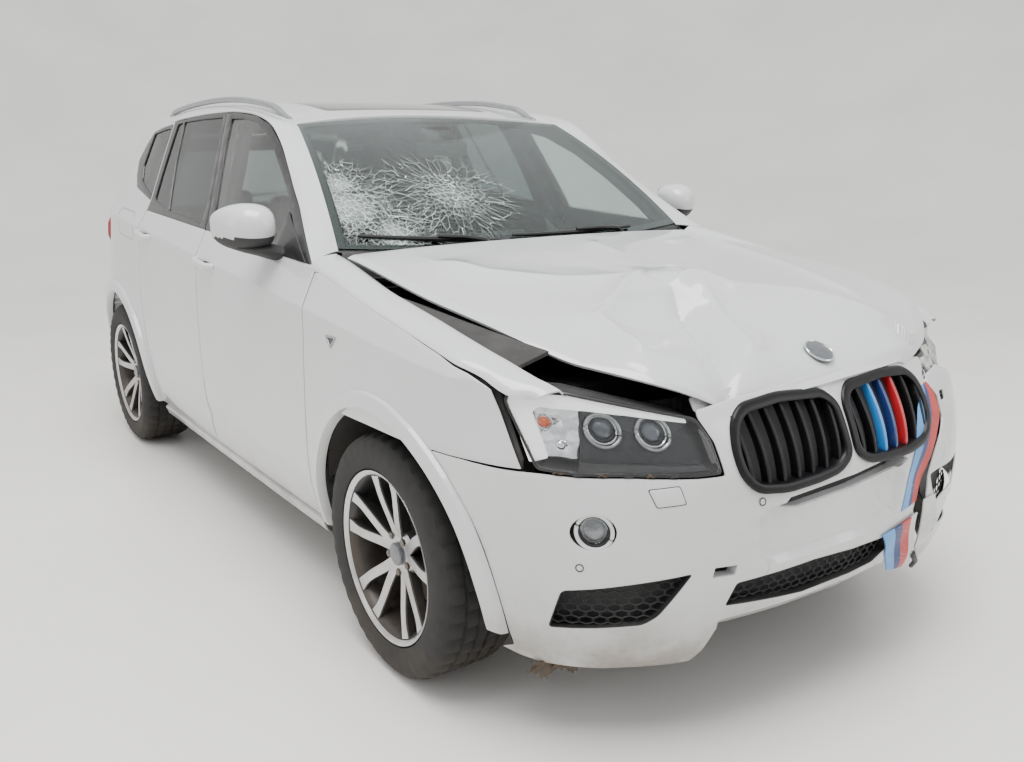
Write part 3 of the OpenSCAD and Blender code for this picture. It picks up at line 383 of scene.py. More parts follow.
def walk(rear):
    """Length along the end's outline from above, from the middle: [(length, u)]."""
    xs, ys = (REAR_X, REAR_Y) if rear else (FRONT_X, FRONT_Y)
    table, sum_, before = [(0.0, 0.0)], 0.0, (curve(xs, 0), curve(ys, 0))
    for k in range(1, 101):
        here = (curve(xs, k / 100), curve(ys, k / 100))
        sum_ += math.dist(before, here)
        before = here
        table.append((sum_, k / 100))
    return table

WALKS = {False: walk(False), True: walk(True)}

def interpolate(table, value, a=0, b=1):
    for k in range(1, len(table)):
        if value <= table[k][a] or k == len(table) - 1:
            p, q = table[k - 1], table[k]
            return p[b] + (q[b] - p[b]) * (value - p[a]) / (q[a] - p[a])

def on_end(rear, s, z, depth):
    """The end's surface at length s round it; past the corner it runs on along the side."""
    reach, sign = WALKS[rear][-1][0], math.copysign(1, s)
    beyond = abs(s) - reach
    if beyond > 0:
        _, y_end = end_point(rear, 1, z)
        y = y_end + beyond * (-1 if rear else 1)
        share = smooth(beyond / 60)
        x = lerp(end_point(rear, 1, z)[0] + beyond * (0.25 if not rear else 0.1), side_x(y, z), share)
        return (sign * (x - depth), y, z)
    u = math.copysign(interpolate(WALKS[rear], abs(s)), s)
    x, y = end_point(rear, u, z)
    x2, y2 = end_point(rear, u + 0.002, z)
    out = Vector((y2 - y, x - x2)).normalized() * (-1 if rear else 1)
    return (x - out.x * depth, y - out.y * depth, z)

def around(rear, x, z):
    """Length s of the point at that x."""
    sign, x = math.copysign(1, x), abs(x) / (1 + curve(SECTION, z) / 900)
    table = [(curve(REAR_X if rear else FRONT_X, u), s) for s, u in WALKS[rear]]
    return sign * (interpolate(table, x) if x < table[-1][0] else WALKS[rear][-1][0])

print("length round the front corner:", round(WALKS[False][-1][0]), "mm")

# %% [markdown]
# ## A panel from a flat pattern
# A pressed panel is made here as its maker would cut it: a flat outline first, with its window cut out and its rim
# rounded, and then pressed onto the body's curve. The pattern starts as a circle with as many points as the outline,
# the points are moved onto the outline, the disc is extruded to the panel's thickness and its rim is bevelled. Many
# straight cuts give it enough points to bend smoothly, and the last step moves every point onto the curve.

# %% Outlines
def rounded(points, radius, n=5):
    """The outline with its corners rounded. A radius may be given for each corner."""
    count, made = len(points), []
    radii = radius if isinstance(radius, (list, tuple)) else [radius] * count
    for i, p in enumerate(points):
        p, a, b = Vector(p), Vector(points[i - 1]), Vector(points[(i + 1) % count])
        u, v = (a - p), (b - p)
        reach = min(radii[i], 0.45 * u.length, 0.45 * v.length)
        if reach < 0.5 or abs(u.normalized().dot(v.normalized()) + 1) < 0.002:
            made.append(tuple(p))
            continue
        start, end = p + u.normalized() * reach, p + v.normalized() * reach
        for k in range(n + 1):
            t = k / n
            made.append(tuple((1 - t) ** 2 * start + 2 * t * (1 - t) * p + t * t * end))
    return made

def grown(points, d):
    """The outline moved outward by d."""
    n = len(points)
    area = sum(points[i][0] * points[(i + 1) % n][1] - points[(i + 1) % n][0] * points[i][1] for i in range(n))
    sign, made = (1 if area > 0 else -1), []
    for i in range(n):
        p, a, b = Vector(points[i]), Vector(points[i - 1]), Vector(points[(i + 1) % n])
        u, v = (p - a).normalized(), (b - p).normalized()
        m = Vector((u.y + v.y, -u.x - v.x)).normalized() * sign
        made.append(tuple(p + m * d / max(0.5, m.dot(Vector((u.y, -u.x)) * sign))))
    return made

def ring(centre_y, radius, start, end, n):
    """Points on a circle round a wheel, from one angle to the other, in degrees."""
    return [(centre_y + radius * math.cos(math.radians(lerp(start, end, k / n))),
             HUB_HEIGHT + radius * math.sin(math.radians(lerp(start, end, k / n)))) for k in range(n + 1)]

print("rounded square:", len(rounded([(0, 0), (9, 0), (9, 9), (0, 9)], 2)), "points")

# %% Flat pattern
def pattern(name, outline, front, thickness, holes=(), rim=2.0):
    """A flat panel: x from front down to front - thickness, its outline in y and z. Its rim is bevelled."""
    def disc(points, x, depth):
        clear_selection()
        bpy.ops.mesh.primitive_circle_add(vertices=len(points), radius=1, fill_type="NGON")
        made = bpy.context.object
        for v, (y, z) in zip(made.data.vertices, points):
            v.co = (x, y, z)
        bpy.ops.object.mode_set(mode="EDIT")
        bpy.ops.mesh.select_all(action="SELECT")
        bpy.ops.mesh.extrude_region_move(TRANSFORM_OT_translate={"value": (-depth, 0, 0)})
        bpy.ops.mesh.select_all(action="SELECT")
        bpy.ops.mesh.normals_make_consistent(inside=False)
        bpy.ops.object.mode_set(mode="OBJECT")
        return made
    piece = disc(outline, front, thickness)
    piece.name = piece.data.name = name
    for hole in holes:
        cutter = disc(hole, front + 50, thickness + 100)
        cut(piece, cutter)
    if rim:
        bevel(piece, rim, 2, 50)
    return piece

def apply_modifier(piece, kind, **settings):
    activate(piece)
    modifier = piece.modifiers.new(kind.lower(), kind)
    for key, value in settings.items():
        setattr(modifier, key, value)
    bpy.ops.object.modifier_apply(modifier=modifier.name)
    return piece

def cut(piece, cutter, operation="DIFFERENCE"):
    apply_modifier(piece, "BOOLEAN", operation=operation, object=cutter, solver="EXACT")
    if not piece.data.vertices:
        raise ValueError("nothing is left of " + piece.name)
    bpy.data.objects.remove(cutter)
    return piece

def bevel(piece, width, segments=2, angle=35):
    return apply_modifier(piece, "BEVEL", width=width, segments=segments, limit_method="ANGLE",
                          angle_limit=math.radians(angle), use_clamp_overlap=True)

def grid_cuts(piece, step, extra=()):
    """Straight cuts through a flat pattern, every step along y and z, and along extra lines (point, normal)."""
    mesh = bmesh.new()
    mesh.from_mesh(piece.data)
    for axis in (1, 2):
        values = [v.co[axis] for v in mesh.verts]
        low, high = min(values), max(values)
        n = max(1, math.ceil((high - low) / step))
        for k in range(1, n):
            normal, point = Vector((0, 0, 0)), Vector((0, 0, 0))
            normal[axis], point[axis] = 1, lerp(low, high, k / n)
            bmesh.ops.bisect_plane(mesh, geom=mesh.verts[:] + mesh.edges[:] + mesh.faces[:], dist=0.02,
                plane_co=point, plane_no=normal)
    for point, normal in extra:
        bmesh.ops.bisect_plane(mesh, geom=mesh.verts[:] + mesh.edges[:] + mesh.faces[:], dist=0.02,
                               plane_co=Vector((0, *point)), plane_no=Vector((0, *normal)))
    mesh.to_mesh(piece.data)
    mesh.free()

def shade(piece, angle=32):
    activate(piece)
    bpy.ops.object.shade_smooth_by_angle(angle=math.radians(angle))
    return piece

def press(piece, form):
    """Every point of the pattern goes to its place on the body: form(y, z, depth) in millimetres."""
    for v in piece.data.vertices:
        v.co = Vector(form(v.co.y, v.co.z, -v.co.x)) * MM
    return piece

def outward(piece):
    activate(piece)
    bpy.ops.object.mode_set(mode="EDIT")
    bpy.ops.mesh.select_all(action="SELECT")
    bpy.ops.mesh.normals_make_consistent(inside=False)
    bpy.ops.object.mode_set(mode="OBJECT")
    return piece

SLOTS = {"satin_aluminium": "satin_aluminium", "bay_black": "underbody_paint", "bumper_paint": "white_plastic",
    "cabin_plastic": "black_plastic", "cabin_carpet": "black_plastic", "glass_cracks": "clear_glass",
        "dark_glass": "dark_glass", "fog_reflector": "lamp_lens", "lamp_housing": "black_plastic",
            "kidney_black": "black_plastic", "lamp_lens": "lamp_lens", "seat_leather": "seat_leather",
                "head_lining": "black_plastic", "white_paint": "white_paint", "plastic_black": "black_plastic",
                    "rust_brown": "black_plastic", "slat_red": "red_lens", "trim_black": "black_plastic",
                        "underside": "underbody_paint", "windscreen_glass": "clear_glass", "wiper_black": "black_plastic"}

def dress(piece, material, body="body", slot=None, replaces=()):
    """The piece gets its finish, the body it rides on and the CAD nodes it stands for; its slot is looked up but not
    kept.
    """
    piece.data.materials.clear()
    piece.data.materials.append(material)
    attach(piece, body)
    slot or SLOTS[material.name.split(".")[0]]
    if replaces:
        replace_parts(piece, *replaces)
    return piece

def copied(piece, name):
    twin = piece.copy()
    twin.data = piece.data.copy()
    twin.name = twin.data.name = name
    for key in [k for k in twin.keys() if k.startswith("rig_")]:
        del twin[key]
    twin.parent = None
    bpy.context.scene.collection.objects.link(twin)
    return twin

def mirrored(piece, name):
    """The same piece on the car's other side, with its own mesh and its faces outward."""
    twin = copied(piece, name)
    mesh = bmesh.new()
    mesh.from_mesh(twin.data)
    for v in mesh.verts:
        v.co.x = -v.co.x
    bmesh.ops.reverse_faces(mesh, faces=mesh.faces[:])
    mesh.to_mesh(twin.data)
    mesh.free()
    return twin

SIDES = ("left", "right")

def both_sides(piece, stem, material, body="body", slot=None, replaces=()):
    """Dresses the left piece and its mirrored twin. {} in a name stands for the side."""
    piece.name = piece.data.name = stem + "_left"
    pair = [piece, mirrored(piece, stem + "_right")]
    for side, one in zip(SIDES, pair):
        dress(one, material, body.format(side), slot, [n.format(side) for n in replaces])
    return pair

def panel(name, outline, form, front=0.0, thickness=4.0, holes=(), step=26, extra=(), rim=1.6, angle=32):
    piece = pattern(name, outline, -front, thickness, holes, rim)
    grid_cuts(piece, step, extra)
    press(piece, form)
    outward(piece)
    return shade(piece, angle)

CREASE_LINES = [((-960, 1000 + k), (-0.07, 1)) for k in (-5, 0, 5)] + [((-960, 1118), (-0.047, 1))]
print("helpers ready")

# %% [markdown]
# ## Sides
# Each side has a wing, two doors and a quarter panel. White paint ends at the belt line, and above it the window
# frames are black. The door's inner box, its hinge side and the pillars come from the CAD nodes: a copy of each has its
# outer faces drawn in by a few millimetres, so that the new skin covers it.

# %% CAD copies that carry the inner faces
def inner_copy(node_name, name, sunk=5.0, reach=8.0):
    """A copy of a CAD node whose outer faces lie deeper than the new skin over them."""
    shell = copied(nodes[node_name], name)
    shell.hide_render = shell.hide_viewport = False
    mesh = bmesh.new()
    mesh.from_mesh(shell.data)
    bmesh.ops.remove_doubles(mesh, verts=mesh.verts[:], dist=1e-5)
    for v in mesh.verts:
        x, y, z = (c / MM for c in v.co)
        if z < 1700 and side_x(y, z) - abs(x) < reach and z > 200:
            v.co.x -= math.copysign(sunk * MM, x)
    mesh.to_mesh(shell.data)
    mesh.free()
    return shade(shell, 30)

def darken(piece):
    """Faces that look into the cabin or lie above the belt line get the dark trim, as a second material."""
    piece.data.materials.append(cabin_plastic)
    for face in piece.data.polygons:
        x, y, z = face.center
        if z > 1.10 or face.normal.x * x < -0.3 * abs(x):
            face.material_index = 1

print("inner copies are made beside each panel")

# %% Door, wing and quarter outlines
WINDOW = [(-950, 1118), (-817, 1195), (-629, 1312), (-506, 1398), (-395, 1483), (-275, 1552), (-136, 1587), (74,
    1605),
          (236, 1607), (492, 1602), (769, 1588), (939, 1568), (1064, 1547)]
REAR_LINE = [(1250, 1530), (1420, 1504), (1600, 1476), (1815, 1436)]
LINE_A = [(-935, 300), (-948, 442), (-985, 760), (-995, 923), (-984, 1100)]
LINE_B = [(70, 300), (48, 640), (30, 950), (20, 1200), (92, 1413), (168, 1604)]
LINE_C = [(842, 300), (846, 420), (868, 540), (886, 650), (892, 800), (868, 1000), (850, 1120), (790, 1251), (792,
    1407), (798, 1584)]
GAP = 2.5
FRONT_GLASS = [(-862, 1136), (-770, 1180), (-600, 1290), (-456, 1392), (-353, 1468), (-260, 1526), (-160, 1560),
    (-29, 1577),
               (105, 1580), (74, 1480), (30, 1370), (-20, 1250), (-42, belt(-42) + 14)]
REAR_GLASS = [(86, 1180), (80, 1250), (150, 1470), (201, 1588), (460, 1585), (658, 1579), (600, 1400), (513, 1213),
    (280, 1196)]
FIXED_GLASS = [(525, 1215), (612, 1400), (672, 1578), (740, 1571), (740, 1407), (739, 1249)]
QUARTER_GLASS = [(803, 1257), (1012, 1323), (1064, 1390), (1045, 1533), (930, 1548), (817, 1556)]

def at_height(line, z):
    for (y0, z0), (y1, z1) in zip(line, line[1:]):
        if z0 <= z <= z1:
            return lerp(y0, y1, (z - z0) / (z1 - z0))

def shifted(line, dy, dz=0):
    return [(y + dy, z + dz) for y, z in line]

def meet_belt(line, dy, side=0):
    """Where a shut line crosses the belt."""
    z = 1150
    for _ in range(20):
        z = belt(at_height(line, z) + dy) + side
    return (at_height(line, z) + dy, z)

a_belt, b_front, b_rear, c_belt = (-972, belt(-972) - 8), meet_belt(LINE_B, -GAP), meet_belt(LINE_B,
    GAP), meet_belt(LINE_C, -GAP)
front_skin = ([p for p in shifted(LINE_A, GAP) if p[1] < 1095] + [(-978, 1108), (-945, belt(-945) - 1)]
              + [(y, belt(y) - 1) for y in (-700, -400, -100)] + [(b_front[0], b_front[1] - 1)]
              + [p for p in reversed(shifted(LINE_B, -GAP)) if p[1] < b_front[1] - 10])
front_frame = ([(-944, belt(-944) + 1)] + shifted(WINDOW[1:8], 4, -GAP) + [(163, 1603)]
               + [p for p in reversed(shifted(LINE_B, -GAP)) if b_front[1] + 10 < p[1] < 1600] + [(b_front[0],
                   b_front[1] + 1)]
               + [(y, belt(y) + 1) for y in (-100, -400, -700)])
rear_skin = ([p for p in shifted(LINE_B, GAP) if p[1] < b_rear[1] - 10] + [(b_rear[0], b_rear[1] - 1)]
             + [(y, belt(y) - 1) for y in (250, 500, 700)] + [(c_belt[0], c_belt[1] - 1)]
             + [p for p in reversed(shifted(LINE_C, -GAP)) if p[1] < c_belt[1] - 8])
rear_frame = ([(b_rear[0], b_rear[1] + 1)] + [p for p in shifted(LINE_B,
    GAP) if b_rear[1] + 10 < p[1] < 1600] + [(173, 1604)]
              + shifted(WINDOW[8:10], 0, -GAP) + [(769, 1585), (795, 1582)]
              + [p for p in reversed(shifted(LINE_C, -GAP)) if c_belt[1] + 8 < p[1] < 1580] + [(c_belt[0],
                  c_belt[1] + 1)]
              + [(y, belt(y) + 1) for y in (700, 500, 250)])
print("front door skin:", len(front_skin), "points; window frame:", len(front_frame))

# %% Doors
def door_form(y, z, depth):
    """The side's curve, with the shallow channel that runs along the foot of the doors."""
    channel = 7 * math.exp(-((z - (395 + 0.035 * (y + 900))) / 30) ** 2) * smooth((y + 960) / 200) * smooth((880 - y) / 200)
    return on_side(y, z, depth + channel)

front_parts = [("front_door_skin", front_skin, (), door_form, paint, 0.0, 4.0),
               ("front_door_frame", front_frame, [rounded(FRONT_GLASS, 14)], on_side, trim_black, -0.6, 9.0)]
rear_parts = [("rear_door_skin", rear_skin, (), door_form, paint, 0.0, 4.0),
              ("rear_door_frame", rear_frame, [rounded(REAR_GLASS, 14), rounded(FIXED_GLASS, 12)], on_side,
                  trim_black, -0.6, 9.0)]
for door, parts in (("front_door", front_parts), ("rear_door", rear_parts)):
    for name, outline, holes, form, material, front, thickness in parts:
        piece = panel(name, rounded(outline, 9, 3), form, front, thickness, holes, step=30,
            extra=CREASE_LINES if "skin" in name else ())
        both_sides(piece, name, material, door + "_{}", "white_paint" if "skin" in name else "black_plastic")
    for side in SIDES:
        shell = inner_copy(f"{door}_{side}", f"{door}_inner_{side}", sunk=6.0, reach=8.0)
        dress(shell, paint, f"{door}_{side}", "white_paint", [f"{door}_{side}"])
        darken(shell)
print("door pieces:", len([o for o in bpy.data.objects if "door" in o.name]))

# %% Wing and quarter panel
wing = ([(-1747, 745), (-1880, 745), (-2008, 749), (-1980, 806), (-1945, 875), (-1918, 922), (-1850, 952), (-1750,
    982), (-1600, 1012), (-1300, 1057),
         (-1010, 1102)] + [p for p in reversed(shifted(LINE_A, -GAP))]
        + [(y, z) for y, z in ring(FRONT_AXLE, TRIM + 1, -4, 126, 26) if z > 305 and z < 744])
quarter_top = shifted(WINDOW[11:], 0, 10) + shifted(REAR_LINE, 0, 10)
quarter = (shifted(LINE_C, GAP) + quarter_top + [(1900, 1380), (2010, 1250), (2075, 1090), (2098, 930), (2098, 650)]
           + [(1716, 650)] + [(y, z) for y, z in ring(REAR_AXLE, TRIM + 1, 38, 188, 30) if z > 305] + [(862, 302)])
QUARTER_RING = [(804, 1575), (939, 1562), (1066, 1543), (1140, 1483), (1184, 1417), (1133, 1346), (1068, 1293), (798,
    1243)]
piece = panel("front_wing_skin", wing, on_side, step=28, extra=CREASE_LINES[:3])
both_sides(piece, "front_wing_skin", paint)
piece = panel("quarter_skin", quarter, on_side, holes=[rounded(QUARTER_RING, 16)], step=28, extra=CREASE_LINES)
both_sides(piece, "quarter_skin", paint)
piece = panel("quarter_ring", rounded(grown(QUARTER_RING, -1), 16), on_side, -0.6, 9, [rounded(QUARTER_GLASS, 16)])
both_sides(piece, "quarter_ring", trim_black)
print("side skins:", [o.name for o in bpy.data.objects if "skin" in o.name])

# %% [markdown]
# ## Sheets that follow two edges
# The roof, the bonnet and the pillars aren't cut from a side view. They start as a grid: its two coordinates, each
# from 0 to 1, are carried to a place on the body, and a Solidify modifier gives the sheet its thickness.

# %% Sheet helper
def sheet(name, form, nu, nv, thickness=3.0, rim=0.0, angle=40):
    """A sheet through form(u, v) in millimetres, nu by nv cells, thickened inward."""
    clear_selection()
    bpy.ops.mesh.primitive_grid_add(x_subdivisions=nu, y_subdivisions=nv, size=1)
    piece = bpy.context.object
    piece.name = piece.data.name = name
    middle = Vector((0, 0, 500))
    for v in piece.data.vertices:
        v.co = Vector(form(v.co.x + 0.5, v.co.y + 0.5)) * MM
    face = piece.data.polygons[len(piece.data.polygons) // 2]
    if face.normal.dot(face.center - middle * MM) < 0:
        piece.data.flip_normals()
    if thickness:
        apply_modifier(piece, "SOLIDIFY", thickness=thickness * MM, offset=-1.0)
    if rim:
        bevel(piece, rim * MM, 2, 60)
    return shade(piece, angle)

def box(name, low, high, rim=0.0):
    """A block between two corners in millimetres, with rounded edges."""
    clear_selection()
    bpy.ops.mesh.primitive_cube_add(size=1)
    piece = bpy.context.object
    piece.name = piece.data.name = name
    for v in piece.data.vertices:
        v.co = Vector([lerp(low[k], high[k], v.co[k] + 0.5) for k in range(3)]) * MM
    if rim:
        bevel(piece, rim * MM, 3, 30)
    return shade(piece, 40)

def ring_skin(name, rings, wrap=True, loop=False, angle=40, weld=0.0):
    """A skin through rings of points in millimetres. wrap closes each ring, loop joins the last ring to the first."""
    clear_selection()
    bpy.ops.mesh.primitive_circle_add(vertices=3, radius=1)
    piece = bpy.context.object
    piece.name = piece.data.name = name
    mesh = bmesh.new()
    made = [[mesh.verts.new(Vector(p) * MM) for p in points] for points in rings]
    n = len(made[0])
    for a, b in zip(made, made[1:] + (made[:1] if loop else [])):
        for k in range(n if wrap else n - 1):
            mesh.faces.new((a[k], a[(k + 1) % n], b[(k + 1) % n], b[k]))
    if not loop:
        mesh.faces.new(made[0][::-1])
        mesh.faces.new(made[-1])
    if weld:
        bmesh.ops.remove_doubles(mesh, verts=mesh.verts[:], dist=weld)
    bmesh.ops.recalc_face_normals(mesh, faces=mesh.faces[:])
    mesh.to_mesh(piece.data)
    mesh.free()
    return shade(piece, angle)

def circle(n, start=0.0):
    """n angles round a full turn."""
    return [start + 2 * math.pi * k / n for k in range(n)]

def tube(name, points, radius, sides=10, closed=False):
    """A round bar through points in millimetres. radius may be a function of the share of the way along."""
    rings, n = [], len(points)
    for i, p in enumerate(points):
        a = Vector(points[i - 1] if i or closed else p)
        b = Vector(points[(i + 1) % n] if i < n - 1 or closed else p)
        along = (b - a).normalized()
        across = along.cross(Vector((0, 0, 1)) if abs(along.z) < 0.9 else Vector((1, 0, 0))).normalized()
        other = across.cross(along)
        r = radius(i / max(1, n - 1)) if callable(radius) else radius
        rings.append([Vector(p) + r * (math.cos(t) * across + math.sin(t) * other) for t in circle(sides)])
    return ring_skin(name, rings, True, closed)

def polyline(points, n):
    """n + 1 points spread evenly along a line of points."""
    lengths = [0.0]
    for a, b in zip(points, points[1:]):
        lengths.append(lengths[-1] + math.dist(a, b))
    made = []
    for k in range(n + 1):
        at = lengths[-1] * k / n
        i = min(len(points) - 2, max(j for j, length in enumerate(lengths) if length <= at + 1e-9))
        t = (at - lengths[i]) / max(1e-9, lengths[i + 1] - lengths[i])
        made.append(tuple(lerp(a, b, t) for a, b in zip(points[i], points[i + 1])))
    return made

print("sheet helpers ready")

# %% Roof with its opening
def roof_form(u, v):
    s = 2 * u - 1
    y, x = lerp(-172 - 91 * s * s, 1890 - 60 * s * s, v), s * roof_half(lerp(-263, 1830, v))
    rib = 3.0 * math.exp(-((abs(x) - 470) / 26) ** 2) * smooth(v * 6) * smooth((1 - v) * 6)
    return (x, y, roof_z(x, y) - rib)

roof = sheet("roof_skin", roof_form, 56, 60, 18, 2)
opening = box("roof_opening", (-385, -65, 1500), (385, 905, 1800))
bevel(opening, 0.03, 4, 30)
cut(roof, opening)
shade(roof, 40)
dress(roof, paint, replaces=["roof"])
dark_glass = finish("dark_glass", (0.006, 0.007, 0.008), 0.06, coat=0.6, tint=0.1, dirt=0.25, scratches=0.12,
    mud=DUST)
sun = sheet("sunroof_pane", lambda u, v: (lerp(-379, 379, u), lerp(-59, 899, v), roof_z(lerp(-379, 379, u),
    lerp(-59, 899, v)) - 4), 10, 12, 8, 3)
dress(sun, dark_glass, replaces=["sunroof_glass"])
print("roof opening:", len(roof.data.vertices), "points")

# %% Roof rails
def rail_point(t):
    """Along a roof rail, from its front foot to its rear foot."""
    v = lerp(0.05, 0.80, t)
    y, half = lerp(-263, 1830, v), roof_half(lerp(-263, 1830, v))
    rise = 21 * smooth(t * 9) * smooth((1 - t) * 9)
    return (half * 0.955, y, roof_z(half * 0.955, y) + 1 + rise)

def rail_radius(t):
    return 12 - 5 * (1 - smooth(t * 12) * smooth((1 - t) * 12))

rail = tube("roof_rail", [rail_point(k / 40) for k in range(41)], rail_radius, 12)
for v in rail.data.vertices:
    v.co.x += (v.co.x / MM - rail_point(clamp((v.co.y / MM + 158) / 1570))[0]) * 0.35 * MM
both_sides(rail, "roof_rail", aluminium, replaces=["roof_rails"])
print("rails:", len(rail.data.vertices), "points each")

# %% Windscreen pillar and roof rail skin
foot_line = sorted(WINDOW[:12] + [(1064, 1547)] + REAR_LINE)

def foot_z(y):
    return curve(foot_line, y)

def pillar_form(u, v):
    """u goes up the pillar and back along the roof, v from the roof's edge down to the window's edge."""
    split = 0.3
    if u < split:
        t = u / split
        a = Vector(screen(1, t))
        y = lerp(-948, -275, t)
    else:
        t = (u - split) / (1 - split)
        half = roof_half(lerp(-263, 1830, t))
        y_top = lerp(-263, 1830, t)
        a = Vector((half, y_top, roof_z(half, y_top)))
        y = lerp(-275, 1815, t)
    z = foot_z(y) + 3
    b = Vector((side_x(y, z), y, z))
    middle = (a + b) / 2 + Vector((9, 0, 11))
    return (1 - v) ** 2 * a + 2 * v * (1 - v) * middle + v * v * b

both_sides(sheet("pillar_skin", pillar_form, 80, 8, 5, 0), "pillar_skin", paint)

def post_form(u, v):
    """The roof's rear end down to the quarter panel's edge beside the tailgate."""
    z = lerp(652, 1470, v)
    y = curve(((660, 2099), (930, 2099), (1090, 2074), (1250, 2009), (1380, 1899), (1450, 1830)), z)
    half = curve(((640, 650), (900, 604), (1130, 604), (1220, 630), (1300, 600), (1558, 552)), z) + 6
    back_y = curve(((640, 2284), (800, 2262), (930, 2256), (1060, 2240), (1150, 2204), (1300, 2104), (1450, 2000),
        (1558, 1902)), z) - 60
    a, b = Vector((side_x(y, z), y, z)), Vector((half, back_y - 3, z))
    middle = Vector((lerp(a.x, b.x, 0.25), lerp(a.y, b.y, 0.62), z))
    return (1 - u) ** 2 * a + 2 * u * (1 - u) * middle + u * u * b

both_sides(sheet("rear_post_skin", post_form, 10, 40, 5, 0), "rear_post_skin", paint)
print("pillars:", len([o for o in bpy.data.objects if "pillar" in o.name or "post" in o.name]))

# %% Copies of the side frames and wings under the skins
for side in SIDES:
    shell = inner_copy(f"side_frame_{side}", f"side_frame_inner_{side}", sunk=9.0, reach=12.0)
    for v in shell.data.vertices:
        if v.co.y < -0.92 and v.co.z > 1.0:
            v.co.z -= 0.09
        elif v.co.z > 1.13:
            v.co.x, v.co.z = v.co.x * 0.975, v.co.z - 0.013
    dress(shell, paint, replaces=[f"side_frame_{side}"])
    darken(shell)
    shell = inner_copy(f"front_wing_{side}", f"wing_inner_{side}", sunk=9.0, reach=40.0)
    dress(shell, underside, replaces=[f"front_wing_{side}"])

WING_EDGE = [(-2035, 723, 925), (-1960, 742, 951), (-1880, 757, 975), (-1800, 768, 996), (-1700, 774, 1017), (-1600,
    774, 1035),
             (-1450, 772, 1058), (-1300, 768, 1081), (-1150, 760, 1110), (-1012, 750, 1135), (-930, 742, 1146)]
WING_TOP = [(-2035, 905), (-1975, 912), (-1945, 922), (-1918, 934), (-1850, 958), (-1750, 984), (-1600, 1012),
    (-1300, 1057), (-1010, 1102)]

def wing_top_form(u, v):
    y = lerp(-2035, -935, u)
    z = curve(WING_TOP, y) + 1
    a = Vector((side_x(max(y, -2000), z) - 28 * smooth((-1975 - y) / 60), y + 22 * smooth((-1990 - y) / 45), z))
    b = Vector((curve([(p[0], p[1]) for p in WING_EDGE], y), y, curve([(p[0], p[2]) for p in WING_EDGE], y)))
    middle = Vector((lerp(a.x, b.x, 0.12), y, max(a.z, b.z) + 5))
    p = (1 - v) ** 2 * a + 2 * v * (1 - v) * middle + v * v * b
    return p - Vector((0, 0, 16 * smooth((v - 0.86) / 0.14)))

both_sides(sheet("wing_top_skin", wing_top_form, 60, 14, 4, 0), "wing_top_skin", paint)
print("wing edge points:", len(WING_EDGE))

# %% Arch trims and sills
def trim_form(axle):
    def form(u, v):
        angle = math.radians(lerp(-7 if axle < 0 else -14, 187, u))
        radius = lerp(ARCH - 2, TRIM - 2, v)
        y, z = axle + radius * math.cos(angle), HUB_HEIGHT + radius * math.sin(angle)
        lip = 16 * (1 - smooth(v / 0.12)) - 11 * smooth(v / 0.16) * smooth((1 - v) / 0.10) - 1.5 * smooth((1 - v) / 0.2)
        return on_side(y, max(300, z), lip + (0 if v < 0.98 else 5))
    return form

for stem, axle in (("front_arch_trim", FRONT_AXLE), ("rear_arch_trim", REAR_AXLE)):
    both_sides(sheet(stem, trim_form(axle), 72, 12, 4, 0), stem, paint, replaces=["arch_trims"])

def sill_form(u, v):
    y = lerp(-948, 842, u)
    z = lerp(306, 214, v)
    step = 14 * math.exp(-((z - 292) / 9) ** 2) - 8 * smooth((292 - z) / 20) * smooth((z - 225) / 20)
    return on_side(y, z, step + 30 * smooth((228 - z) / 16))

both_sides(sheet("sill_skin", sill_form, 40, 22, 5, 0), "sill_skin", paint, replaces=["side_skirts"])
print("trims:", len([o for o in bpy.data.objects if "trim" in o.name]))

# %% [markdown]
# ## Glass
# Clear panes are real transmission, with a faint green tint. The rear panes are dark, as privacy glass is.

# %% Panes
clear_pane = finish("clear_glass", (0.86, 0.93, 0.91), 0.04, tint=0.02, dirt=0.0, mud=DUST, Transmission_Weight=1.0,
    IOR=1.45)
tinted_pane = finish("tinted_glass", (0.20, 0.24, 0.24), 0.04, tint=0.05, dirt=0.0, mud=DUST,
    Transmission_Weight=1.0, IOR=1.45)
for stem, outline, material, body, replaced in (
        ("front_door_pane", grown(FRONT_GLASS, 1), clear_pane, "front_door_{}", ["front_door_glass_{}"]),
        ("rear_door_pane", grown(REAR_GLASS, 1), tinted_pane, "rear_door_{}", ["rear_door_glass_{}"]),
        ("rear_door_fixed_pane", grown(FIXED_GLASS, 1), tinted_pane, "rear_door_{}", []),
        ("quarter_pane", grown(QUARTER_GLASS, 1), tinted_pane, "body", ["rear_quarter_glass"])):
    piece = panel(stem, rounded(outline, 12), on_side, front=5, thickness=3.5, step=60, rim=0)
    both_sides(piece, stem, material, body, "clear_glass", replaced)
print("panes:", len([o for o in bpy.data.objects if "pane" in o.name]))

# %% [markdown]
# ## Windscreen and its broken web
# The windscreen is one bent pane. The break is a very thin sheet on top of it, whose Alpha is a web of cracks: a
# Voronoi pattern in polar coordinates around the blow gives straight cracks outward and short ones around it.

# %% Windscreen
def screen_form(u, v):
    return Vector(screen(2 * u - 1, lerp(0.012, 0.99, v)))

pane = sheet("windscreen_pane", screen_form, 30, 20, 5, 0)
windscreen_glass = finish("windscreen_glass", (0.52, 0.64, 0.60), 0.04, tint=0.02, dirt=0.0, mud=DUST,
    Transmission_Weight=1.0, IOR=1.45)
dress(pane, windscreen_glass, replaces=["windscreen"])

def screen_strip(name, u0, u1, v0, v1, nu, nv, inward=6.0):
    def form(u, v):
        p = Vector(screen(2 * lerp(u0, u1, u) - 1, lerp(v0, v1, v)))
        return p - Vector((0, -0.49, 0.87)) * inward
    return sheet(name, form, nu, nv, 1.0, 0)

